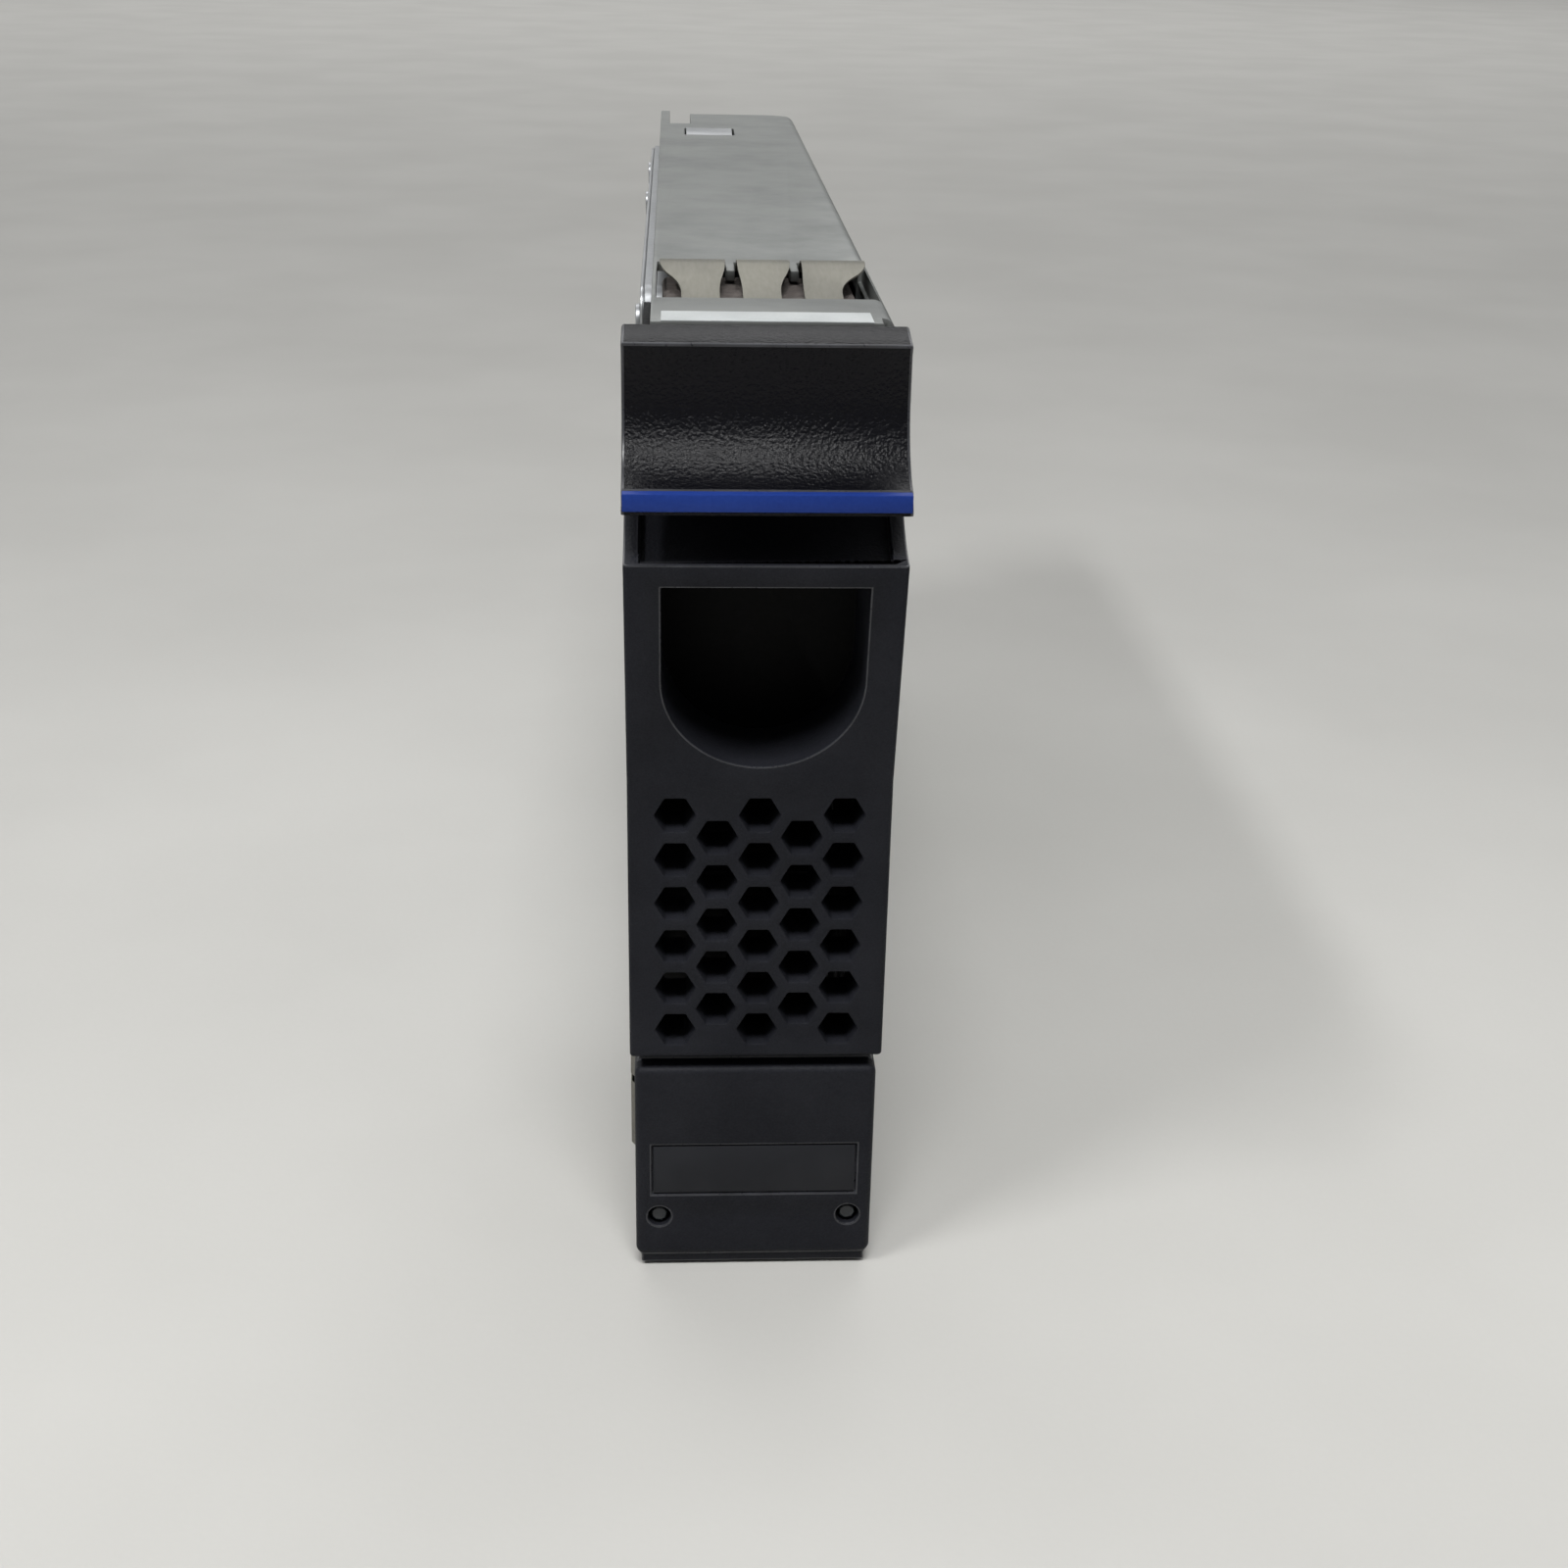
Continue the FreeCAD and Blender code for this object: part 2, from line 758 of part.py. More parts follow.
def build_handle():
    shell = extruded("handle_shell", "x", handle_span, [
        (zero, handle_brow),
        (size("face_setback"), handle_brow - size("brow_drop")),
        (size("face_setback"), scoop_z),
        (lip_front, strip_top, -scoop),
        (lip_front, lip_base),
        (lip_heel, lip_base),
        (wall_back, scoop_z, back_scoop),
        (wall_back, flange_root),
        (size("handle_depth"), flange_end),
        (size("handle_depth"), handle_top),
    ])
    wall_middle = scoop + size("handle_wall") / 2
    knuckle = size("rib_knuckle_radius")
    rib_outline = [
        (scoop_y + wall_middle * cosine(45), scoop_z - wall_middle * sine(45)),
        (pivot_y, pivot_z - knuckle),
        (pivot_y + knuckle, pivot_z, knuckle),
        (size("handle_depth") - clear, flange_end + clear),
        (wall_back - clear, flange_root + clear),
        (wall_back - clear, scoop_z),
    ]
    ribs = [
        extruded("handle_rib_left", "x", (-handle_half, size("handle_rib") - handle_half), rib_outline),
        extruded("handle_rib_right", "x", (handle_half - size("handle_rib"), handle_half), rib_outline),
    ]
    guides = []
    guide_front = wall_back - size("handle_wall") / 2
    for side, name in ((-1, "left"), (1, "right")):
        near_edge = guide_inner * side
        far_edge = guide_outer * side
        lip_edge = (guide_inner - size("guide_lip")) * side
        spans = sorted((near_edge, far_edge), key=number_of)
        lip_spans = sorted((lip_edge, far_edge), key=number_of)
        guides.append(block(f"guide_{name}", spans, (guide_front, guide_back),
                            (guide_base, guide_roof)))
        guides.append(block(f"guide_{name}_lip", lip_spans, (catch_back + clear, guide_back),
                            (guide_base, guide_roof)))
    shelf = block("guide_shelf", (-guide_outer, guide_outer), (guide_front, guide_back),
                  (guide_roof, guide_roof + size("guide_shelf_gauge")))
    whole = united("handle_whole", [shell] + ribs + guides + [shelf])
    bore_half = pin_half + fit
    bore = rod("handle_bore", "x", (-bore_half, pivot_y, pivot_z), bore_half * 2, size("pin_radius") + fit)
    strip_seat = extruded("strip_seat", "x", (-handle_half - 1, handle_half + 1), strip_outline)
    subpart("handle", cut("handle_cut", whole, [bore, strip_seat]))


strip_half = handle_half - size("strip_border")
strip_outline = [
    (lip_front, lip_base + size("strip_base_edge")),
    (strip_back, lip_base + size("strip_base_edge")),
    (strip_back, below_centre(strip_back, scoop_y, scoop_z, scoop)),
    (lip_front, strip_top, -scoop),
]
pin_half = handle_half - size("pin_end_cover")
catch_half = size("catch_width") / 2
catch_front = wall_back + clear
catch_back = catch_front + size("catch_gauge")
guide_inner = catch_half + clear
guide_outer = guide_inner + size("guide_gauge")
guide_back = catch_back + clear + size("guide_back_gauge")


def build_catch():
    pad_front = catch_back - size("catch_pad_reach")
    nose_half = size("catch_nose_width") / 2
    nose_tip = pocket_back(nose_base + size("catch_nose_gauge") / 2) + size("nose_bite")
    slide = block("catch_slide", (-catch_half, catch_half), (catch_front, catch_back),
                  (catch_base, catch_top))
    pad = block("catch_pad", (-catch_half, catch_half), (pad_front, catch_back),
                (catch_base, catch_base + size("catch_pad_gauge")))
    nose = block("catch_nose", (-nose_half, nose_half), (catch_front, nose_tip),
                 (nose_base, nose_base + size("catch_nose_gauge")))
    subpart("release_catch", united("catch_whole", [slide, pad, nose]))

    half = size("spring_span") / 2
    rise = spring_rise
    bow = (half * half + rise * rise) / (rise * 2)
    thin = size("spring_gauge")
    inner_half = half - thin
    inner_rise = rise - thin
    inner_bow = (inner_half * inner_half + inner_rise * inner_rise) / (inner_rise * 2)
    foot = catch_top
    middle = (catch_front + catch_back) / 2
    spring = extruded("catch_spring_leaf", "y",
                      (middle - size("spring_width") / 2, middle + size("spring_width") / 2), [
                          (half, foot),
                          (zero, foot + rise, bow),
                          (-half, foot, bow),
                          (-inner_half, foot),
                          (zero, foot + inner_rise, -inner_bow),
                          (inner_half, foot, -inner_bow),
                      ])
    subpart("catch_spring", spring)


# Front bezel
bezel_half = handle_half - size("bezel_inset")
inside_half = bezel_half - size("bezel_side")
crest_height = lip_base - size("finger_gap")
grip_top = crest_height - size("grip_drop")
crest_y = -size("crest_reach")
recess_y = -size("recess_centre_reach")
recess_r = size("recess_radius")
recess_z = crest_height + root(recess_r * recess_r - (crest_y - recess_y) * (crest_y - recess_y))
pocket_r = recess_r + size("pocket_sink")
shell_r = pocket_r + size("pocket_wall")
lean = size("crest_reach") / (crest_height - crease_height)
lean_wall = size("bezel_wall") * root(lean * lean + 1)
beyond_back = bezel_back + 1
grip_half = size("grip_width") / 2
hex_rows = 6
hex_row = (size("grille_height") - size("hex_drop") - size("hex_foot")) / (hex_rows - 1)
hex_pitch = hex_row * root(Size("3", 3.0)) / 2
hex_flat = hex_row - size("hex_bar")
hex_first = crease_height - size("hex_drop")


def pocket_back(z):
    """Depth of the pocket's curved rear wall at a height."""
    return recess_y + root(pocket_r * pocket_r - (recess_z - z) * (recess_z - z))


def shell_back(z):
    return recess_y + root(shell_r * shell_r - (recess_z - z) * (recess_z - z))


def leaning_back(z):
    """Depth of the inner face of the leaning wall at a height."""
    return lean_wall - lean * (z - crease_height)


def grip_outline(margin):
    half = grip_half + margin
    top = grip_top + margin
    centre = grip_centre
    return [
        (-half, top),
        (-half, centre),
        (zero, centre - half, half),
        (half, centre, half),
        (half, top),
    ]


def hex_holes(prefix, flat, front, length):
    """Six holes in the outer and middle columns, five half a row lower in the columns between."""
    holes = []
    for column in range(-2, 3):
        staggered = column % 2 != 0
        for row in range(hex_rows - 1 if staggered else hex_rows):
            drop = hex_row * (row + (0.5 if staggered else 0.0))
            at = (hex_pitch * column, front, hex_first - drop)
            holes.append(hexagon(f"{prefix}_{column + 2}_{row}", at, length, flat))
    return holes


def screw_bosses():
    crease_boss_height = crease_height + size("crease_boss_rise")
    base_boss_height = bezel_base + size("base_boss_rise")
    cap_boss_height = cap_top - size("cap_boss_fall")
    return {
        "crease_left": (-size("crease_boss_offset"), crease_boss_height),
        "crease_right": (size("crease_boss_offset"), crease_boss_height),
        "base_left": (-hex_pitch, base_boss_height),
        "base_right": (hex_pitch, base_boss_height),
        "cap_left": (-size("cap_boss_offset"), cap_boss_height),
        "cap_right": (size("cap_boss_offset"), cap_boss_height),
    }


def boss_set(names, front):
    bosses = []
    pilots = []
    for name in names:
        x, z = screw_bosses()[name]
        bosses.append(rod(f"boss_{name}", "y", (x, front, z), bezel_back - front, size("boss_radius")))
        pilots.append(rod(f"pilot_{name}", "y", (x, bezel_back - size("bezel_screw_length") - clear, z),
                          size("bezel_screw_length") + clear * 2, size("bezel_screw_radius") + fit))
    return bosses, pilots


def build_bezel():
    knee_y = cheek_knee
    knee_z = below_centre(knee_y, recess_y, recess_z, recess_r)
    blank = extruded("bezel_blank", "x", (-bezel_half, bezel_half), [
        (zero, bezel_base),
        (bezel_back, bezel_base),
        (bezel_back, cheek_top),
        (cheek_front, cheek_top),
        (cheek_front, pocket_rim),
        (knee_y, knee_z),
        (crest_y, crest_height, -recess_r),
        (zero, crease_height),
    ])

    def lower_front(first, last):
        both_low = near(first.z, bezel_base) and near(last.z, bezel_base)
        return both_low and abs(first.x - last.x) < 0.001

    rounded(blank, size("bezel_corner_radius"), lower_front)

    def front_side(first, last):
        at_side = abs(abs(first.x) - bezel_half.number) < 0.001 and near(first.x, last.x)
        upright = abs(first.z - last.z) > 5
        in_front = max(first.y, last.y) < 0.001
        return at_side and upright and in_front

    rounded(blank, size("bezel_edge_radius"), front_side)

    bar_back = crest_y + size("crest_bar")
    rim = pocket_rim
    web_start = bar_back + size("crest_bar")
    inside_span = (-inside_half, inside_half)
    hollow_low = bezel_base + size("bezel_floor")
    crease_inner = crease_height + (lean_wall - size("bezel_wall")) / lean
    collar_top = grip_top - clear
    ledge = rim - size("bezel_wall")
    hollow = extruded("bezel_hollow", "x", inside_span, [
        (size("bezel_wall"), hollow_low),
        (beyond_back, hollow_low),
        (beyond_back, ledge),
        (shell_back(ledge), ledge),
        (web_start, below_centre(web_start, recess_y, recess_z, shell_r), -shell_r),
        (leaning_back(collar_top), collar_top),
        (size("bezel_wall"), crease_inner),
    ])
    pocket = extruded("bezel_pocket", "x", inside_span, [
        (bar_back, below_centre(bar_back, recess_y, recess_z, pocket_r)),
        (pocket_back(rim), rim, pocket_r),
        (beyond_back, rim),
        (beyond_back, handle_top),
        (bar_back, handle_top),
    ])
    collar_span = (crest_y, bezel_back - clear)
    collar = shared("grip_collar", blank,
                    extruded("grip_collar_block", "y", collar_span, grip_outline(size("collar_wall"))))
    post_front = pivot_y - size("knuckle_radius")
    post_back = pivot_y + size("knuckle_radius")
    knuckle = size("knuckle_radius")
    post_foot = rim - size("handle_wall") * 2
    wall_middle = size("pocket_wall") / 2
    post_outline = [
        (post_front, post_foot + size("bezel_wall")),
        (pocket_back(post_foot) + wall_middle, post_foot),
        (pocket_back(rim - 1) + wall_middle, rim - 1),
        (post_back, rim - clear),
        (post_back, pivot_z),
        (pivot_y, pivot_z + knuckle, knuckle),
        (post_front, pivot_z, knuckle),
    ]
    inner = size("post_inner")
    outer = inner + size("post_width")
    posts = [
        extruded("post_left", "x", (-outer, -inner), post_outline),
        extruded("post_right", "x", (inner, outer), post_outline),
    ]
    bosses, pilots = boss_set(("crease_left", "crease_right", "base_left", "base_right"),
                              size("bezel_wall") / 2)
    body = cut("bezel_shell", blank, [hollow, pocket])
    cells = block("grille_cells", (clear - bezel_half, bezel_half - clear),
                  (size("bezel_wall") / 2, size("grille_depth")), (hollow_low - clear, crease_height))
    whole = united("bezel_whole", [body, cells, collar] + posts + bosses)
    grip = extruded("grip_hole", "y", (crest_y - 1, beyond_back), grip_outline(zero))
    pin_hole = rod("post_bore", "x", (-outer - 1, pivot_y, pivot_z), outer * 2 + 2, size("pin_radius") + fit)
    nose_half = size("catch_nose_width") / 2 + size("keeper_clear")
    keeper_low = nose_base - size("keeper_drop")
    keeper_high = (nose_base + size("catch_nose_gauge") + size("catch_travel")
                   + size("keeper_clear"))
    keeper = block("keeper_slot", (-nose_half, nose_half),
                   (pivot_y, bezel_back - size("keeper_clear")), (keeper_low, keeper_high))
    holes = hex_holes("grille_hole", hex_flat, -clear, size("grille_depth") + clear * 2)
    subpart("front_bezel", cut("bezel_cut", whole, [grip, pin_hole, keeper] + pilots + holes))


# Lower cap, plate and light pipes
cap_half = handle_half - size("cap_inset")
cap_front = size("cap_setback")
plate_half = size("plate_width") / 2


def build_cap():
    blank = extruded("cap_blank", "z", (cap_base, cap_top), [
        (-cap_half, cap_front),
        (cap_half, cap_front),
        (cap_half, bezel_back),
        (-cap_half, bezel_back),
    ])

    def front_to_back(first, last):
        return near(first.x, last.x) and near(first.z, last.z)

    def on_front(first, last):
        return near(first.y, cap_front) and near(last.y, cap_front)

    rounded(blank, size("cap_corner_radius"), front_to_back)
    rounded(blank, size("cap_edge_radius"), on_front)
    hollow = block("cap_hollow", (size("cap_side") - cap_half, cap_half - size("cap_side")),
                   (cap_front + size("cap_wall"), beyond_back),
                   (cap_base + size("cap_side"), cap_top - size("cap_side")))
    tongue_half = size("tongue_width") / 2
    tongue = block("cap_tongue", (-tongue_half, tongue_half), (size("tongue_front"), size("tongue_back")),
                   (cap_top - size("cap_side"), bezel_base - clear))
    bosses, pilots = boss_set(("cap_left", "cap_right"), cap_front + size("cap_wall") / 2)
    recess = block("plate_recess_cut", (-plate_half, plate_half),
                   (cap_front - 1, cap_front + size("plate_recess")), (plate_base, plate_top))
    lamps = [
        rod(f"lamp_hole_{name}", "y", (size("lamp_offset") * side, cap_front - 1, lamp_height),
            size("cap_wall") + 2, size("lamp_hole_radius"))
        for side, name in ((-1, "left"), (1, "right"))
    ]
    channels = [
        rod(f"pipe_channel_{name}", "y", (size("lamp_offset") * side, cap_front, lamp_height),
            beyond_back - cap_front, size("pipe_radius") + fit)
        for side, name in ((-1, "left"), (1, "right"))
    ]
    skirt_half = cap_half - size("skirt_inset")
    skirt = block("cap_skirt", (-skirt_half, skirt_half),
                  (cap_front + size("skirt_setback"), cap_front + size("cap_wall")),
                  (size("skirt_lift"), cap_base + size("cap_side")))
    shell = cut("cap_shell", blank, [hollow])
    whole = united("cap_whole", [shell, tongue, skirt] + bosses)
    subpart("lower_cap", cut("cap_cut", whole, [recess] + lamps + channels + pilots))

    gap = size("plate_gap")
    plate_bed = cap_front + size("plate_recess")
    subpart("name_plate", block("name_plate_sheet", (gap - plate_half, plate_half - gap),
                                (plate_bed - size("plate_gauge"), plate_bed),
                                (plate_base + gap, plate_top - gap)))


pipe_front = cap_front + size("pipe_sink")
pipe_bend_start = screen_back + size("pipe_lead")
pipe_bend_end = pipe_bend_start + size("pipe_bend_run")
card_front = drive_rear + size("card_back")
pipe_rear = card_front - size("lamp_gauge") - size("lamp_gap")


def build_light_pipe(label, side):
    """A clear rod that dips from the lamp hole to the gap under the drive and runs to the card."""
    run = pipe_bend_end - pipe_bend_start
    drop = lamp_height - pipe_low_height
    length = root(run * run + drop * drop)
    along = run / length
    down = drop / length
    tangent = size("pipe_bend_radius") * down / (along + 1)
    high = lamp_height
    low = pipe_low_height
    x = size("lamp_offset") * side
    body = new_item("PartDesign::Body", f"{label}_body")
    path = new_sketch(body, f"{label}_path", "x", x)
    bend = size("pipe_bend_radius")
    stops = [
        (pipe_front, high),
        (pipe_bend_start - tangent, high),
        (pipe_bend_start + tangent * along, high - tangent * down, -bend),
        (pipe_bend_end - tangent * along, low + tangent * down),
        (pipe_bend_end + tangent, low, bend),
        (pipe_rear, low),
    ]
    ends = []
    for index in range(1, len(stops)):
        start = FreeCAD.Vector(stops[index - 1][0].number, stops[index - 1][1].number, 0)
        end = FreeCAD.Vector(stops[index][0].number, stops[index][1].number, 0)
        if len(stops[index]) == 3:
            turn = stops[index][2].number
            path.addGeometry(arc_between(start, end, turn))
            ends.append((1, 2) if turn > 0 else (2, 1))
            rule = path.addConstraint(Sketcher.Constraint("Radius", index - 1, abs(turn)))
            bind(path, f"Constraints[{rule}]", bend)
        else:
            path.addGeometry(Part.LineSegment(start, end))
            ends.append((1, 2))
    place_vertex(path, 0, 1, stops[0])
    for index in range(1, len(stops)):
        place_vertex(path, index - 1, ends[index - 1][1], stops[index])
        if index < len(stops) - 1:
            path.addConstraint(Sketcher.Constraint(
                "Coincident", index - 1, ends[index - 1][1], index, ends[index][0]))
    profile = new_sketch(body, f"{label}_profile", "y", pipe_front)
    circle(profile, (x, high), size("pipe_radius"))
    doc.recompute()
    pipe = body.newObject("PartDesign::AdditivePipe", f"{label}_pipe")
    pipe.Profile = profile
    pipe.Spine = path
    subpart(label, body)


# Folded tray
web_outer = size("tray_right")
web_inner = web_outer - gauge
flange_left = -size("tray_left")
web_front = bezel_back + clear
drive_left = -size("drive_left")
drive_right = drive_left + size("drive_gauge")
card_rear = card_front + size("card_gauge")
card_base = gauge + size("card_lift")
card_top = drive_high - size("card_fall")
notch_front = tray_rear - size("notch_length")
slot_front = tray_rear - size("slot_setback")


def drive_screw_points():
    points = []
    for step in (0, 1):
        for side in (-1, 1):
            y = drive_rear - size("drive_screw_back") - size("drive_screw_step") * step
            points.append((y, drive_middle + (drive_height / 2 - size("drive_screw_edge")) * side))
    return points


def rivet_points():
    rivet_back = screen_back + size("rivet_setback")
    rivet_low = screen_flange_base + size("rivet_margin")
    rivet_high = screen_flange_top - size("rivet_margin")
    return [(rivet_back, rivet_low), (rivet_back, rivet_high)]


def ear_points():
    """Middle of each ear that holds the card, across X and up Z."""
    x = web_inner - size("ear_width") / 2
    return [(x, card_base + size("ear_rise")), (x, card_top - size("ear_fall"))]


def build_tray():
    bend = size("tray_bend")
    inner_bend = bend - gauge
    top = tray_top
    channel = extruded("tray_channel", "y", (web_front, tray_rear), [
        (flange_left, zero),
        (web_outer - bend, zero),
        (web_outer, bend, bend),
        (web_outer, top - bend),
        (web_outer - bend, top, bend),
        (flange_left, top),
        (flange_left, roof_under),
        (web_outer - bend, roof_under),
        (web_inner, top - bend, -inner_bend),
        (web_inner, bend),
        (web_outer - bend, gauge, -inner_bend),
        (flange_left, gauge),
    ])
    roof_front = block("tray_roof_front", (flange_left, web_outer - bend), (plate_front, web_front),
                       (roof_under, top))
    foot_front = cap_front + size("cap_wall") + clear
    foot = block("tray_foot", (flange_left, web_outer - bend), (foot_front, web_front), (zero, gauge))
    tab = block("tray_tab", (flange_left, -size("notch_left")), (notch_front, tab_rear),
                (roof_under, top))
    ears = []
    for index, (x, z) in enumerate(ear_points()):
        half = size("ear_height") / 2
        ears.append(block(f"tray_ear_{index}", (x - size("ear_width") / 2, web_outer - gauge / 2),
                          (card_rear, card_rear + gauge), (z - half, z + half)))
    seats = [rod(f"tray_seat_{index}", "x", (drive_right, y, z), web_outer - gauge / 2 - drive_right,
                 size("seat_radius")) for index, (y, z) in enumerate(drive_screw_points())]
    whole = united("tray_whole", [channel, roof_front, foot, tab] + ears + seats)

    over = tray_top + 1
    under = roof_under - 1
    window = extruded("roof_window", "z", (under, over), window_outline())
    slot_rear = slot_front + size("slot_length")
    slot = block("roof_slot", (-size("slot_left"), size("slot_right")),
                 (slot_front, slot_rear), (under, over))
    flap_tip = tray_top - size("flap_drop")
    flap = extruded("roof_flap", "x", (clear - size("slot_left"), size("slot_right") - clear), [
        (slot_rear + clear, tray_top),
        (slot_rear, tray_top),
        (slot_front + clear, flap_tip),
        (slot_front + clear, flap_tip - gauge),
        (slot_rear, roof_under),
        (slot_rear + clear, roof_under),
    ])
    notch = block("roof_notch", (-size("notch_left"), -size("notch_right")),
                  (notch_front, tab_rear), (under, over))
    corner = size("rear_corner_radius")
    corner_cut = extruded("roof_corner", "z", (roof_under - bend, over), [
        (web_outer + 1, tray_rear - corner),
        (web_outer + 1, tray_rear + 1),
        (web_outer - corner, tray_rear + 1),
        (web_outer - corner, tray_rear),
        (web_outer, tray_rear - corner, -corner),
    ])
    vents = []
    vent_room = drive_length - size("vent_margin") - size("vent_rear_margin")
    vent_length = (vent_room - size("vent_bar")) / 2
    vent_levels = (drive_low + size("vent_rise"), drive_high - size("vent_fall"))
    for index in range(2):
        start = drive_front + size("vent_margin") + (vent_length + size("vent_bar")) * index
        vents.append(extruded(f"web_vent_{index}", "x", (web_inner - 1, web_outer + 1),
                              rounded_box((start, start + vent_length),
                                          vent_levels, size("vent_corner"))))
    holes = []
    for index, (y, z) in enumerate(drive_screw_points()):
        holes.append(rod(f"web_hole_{index}", "x", (drive_right - 1, y, z), web_outer - drive_right + 2,
                         size("drive_screw_radius") + fit))
        holes.append(taper(f"web_sink_{index}", "x", (web_outer - gauge, y, z), gauge,
                           size("drive_screw_radius") + fit, size("drive_screw_head") + fit))
    for index, (y, z) in enumerate(rivet_points()):
        holes.append(rod(f"web_rivet_hole_{index}", "x", (web_inner - 1, y, z), gauge + 2,
                         size("rivet_radius") + fit))
    for index, (x, z) in enumerate(ear_points()):
        holes.append(rod(f"ear_hole_{index}", "y", (x, card_rear - 1, z), gauge + 2,
                         size("card_screw_radius") + fit))
    sheet_cut = cut("tray_cut", whole, [window, slot, notch, corner_cut] + vents + holes)
    subpart("carrier_tray", united("tray_with_flap", [sheet_cut, flap]))


def window_outline():
    """The opening for the contact fingers, with two short ribs from its rear edge."""
    front = window_front
    rear = window_rear
    tip = rear - size("rail_rib_length")
    half = size("rail_rib_width") / 2
    vertices = [(-size("window_left"), front), (size("window_right"), front), (size("window_right"), rear)]
    for middle in (size("rail_rib_right"), -size("rail_rib_left")):
        vertices.append((middle + half, rear))
        vertices.append((middle + half, tip))
        vertices.append((middle - half, tip))
        vertices.append((middle - half, rear))
    vertices.append((-size("window_left"), rear))
    return vertices


def build_label():
    left = -size("label_left")
    subpart("roof_label", block("roof_label_sheet", (left, left + size("label_width")),
                                (plate_front, plate_front + size("label_depth")),
                                (tray_top, tray_top + size("label_gauge"))))


# Sprung contacts
def finger_edges():
    """Left and right edge of each contact finger: at its root, then at its crest."""
    rib = size("rail_rib_width") / 2 + clear / 2
    left = clear - size("window_left")
    right = size("window_right") - clear
    first_rib = -size("rail_rib_left")
    second_rib = size("rail_rib_right")
    root_half = size("contact_root") / 2
    spans = ((left, first_rib - rib), (first_rib + rib, second_rib - rib), (second_rib + rib, right))
    edges = []
    for index, (low, high) in enumerate(spans):
        middle = size("contact_middle") + size("contact_pitch") * (index - 1)
        edges.append(((middle - root_half, middle + root_half), (low, high)))
    return edges


def flare(vertices, x_from, y_from, x_to, y_to):
    """Two equal arcs that carry an edge sideways and leave it parallel to where it began."""
    across = x_to - x_from
    along = y_to - y_from
    lateral = across if across.number > 0 else -across
    bend = (across * across + along * along) / (lateral * 4)
    turn = 1 if across.number * along.number < 0 else -1
    vertices.append((x_from, y_from))
    vertices.append(((x_from + x_to) / 2, (y_from + y_to) / 2, bend * turn))
    vertices.append((x_to, y_to, bend * -turn))


def build_roof_contacts():
    thin = size("contact_gauge")
    front = window_front - size("contact_foot_length")
    rise_start = window_front + clear
    crest_z = tray_top + size("contact_crest")
    bow = size("contact_crest_radius")
    centre_y = window_rear - size("contact_crest_inset")
    centre_z = crest_z - bow
    lead = centre_y - size("contact_lead")
    trail = centre_y + size("contact_trail")
    tip_y = window_rear - size("contact_tip_gap")
    tip_z = tray_top - size("contact_tip_drop")
    inner = bow - thin

    def on_arc(y, radius):
        return centre_z + root(radius * radius - (y - centre_y) * (y - centre_y))

    sheet_bend = extruded("roof_contact_sheet", "x", (-size("window_left"), size("window_right")), [
        (front, roof_under - thin),
        (rise_start, roof_under - thin),
        (lead, on_arc(lead, inner)),
        (trail, on_arc(trail, inner), -inner),
        (tip_y, tip_z - thin),
        (tip_y, tip_z),
        (trail, on_arc(trail, bow)),
        (lead, on_arc(lead, bow), bow),
        (rise_start, roof_under),
        (front, roof_under),
    ])
    edges = finger_edges()
    flare_start = window_front + size("contact_neck")
    flare_end = window_rear - size("contact_blade")
    vertices = [(edges[0][0][0], front), (edges[2][0][1], front)]
    for index in (2, 1, 0):
        (root_left, root_right), (crest_left, crest_right) = edges[index]
        flare(vertices, root_right, flare_start, crest_right, flare_end)
        vertices.append((crest_right, tip_y + clear))
        vertices.append((crest_left, tip_y + clear))
        flare(vertices, crest_left, flare_end, root_left, flare_start)
        if index:
            vertices.append((root_left, rise_start))
            vertices.append((edges[index - 1][0][1], rise_start))
    plan = extruded("roof_contact_plan", "z", (roof_under - bow, tray_top + bow), vertices)
    subpart("roof_contacts", shared("roof_contact_fingers", sheet_bend, plan))


def build_side_contacts(label, seat, bow, side):
    """An upright strip of bowed fingers on a side face, slit at an even pitch."""
    thin = size("side_contact_gauge")
    front = bezel_back + size("side_contact_setback")
    foot = front + size("side_contact_foot")
    shoulder = foot + size("side_contact_rise")
    heel = shoulder + size("side_contact_flat")
    tip = heel + size("side_contact_rise")
    outside = [
        (thin, front),
        (thin, foot),
        (bow + thin, shoulder),
        (bow + thin, heel),
        (thin + clear, tip),
        (clear, tip),
        (bow, heel),
        (bow, shoulder),
        (zero, foot),
        (zero, front),
    ]
    vertices = [(seat + out * side, back) for out, back in outside]
    low = screen_flange_base - size("side_contact_fall")
    high = screen_flange_top - size("side_contact_drop")
    strip = extruded(f"{label}_strip", "z", (low, high), vertices)
    count = 11
    pitch = (high - low) / count
    reach = bow + thin + 1
    near_x, far_x = sorted((seat - 1 * side, seat + reach * side), key=number_of)
    slits = []
    for index in range(1, count):
        z = low + pitch * index
        slits.append(block(f"{label}_slit_{index}", (near_x, far_x), (foot, tip + 1),
                           (z, z + size("side_contact_slit"))))
    subpart(label, cut(f"{label}_cut", strip, slits))


# Screen plate behind the bezel with its screws and rivets
screen_left = -size("screen_left")


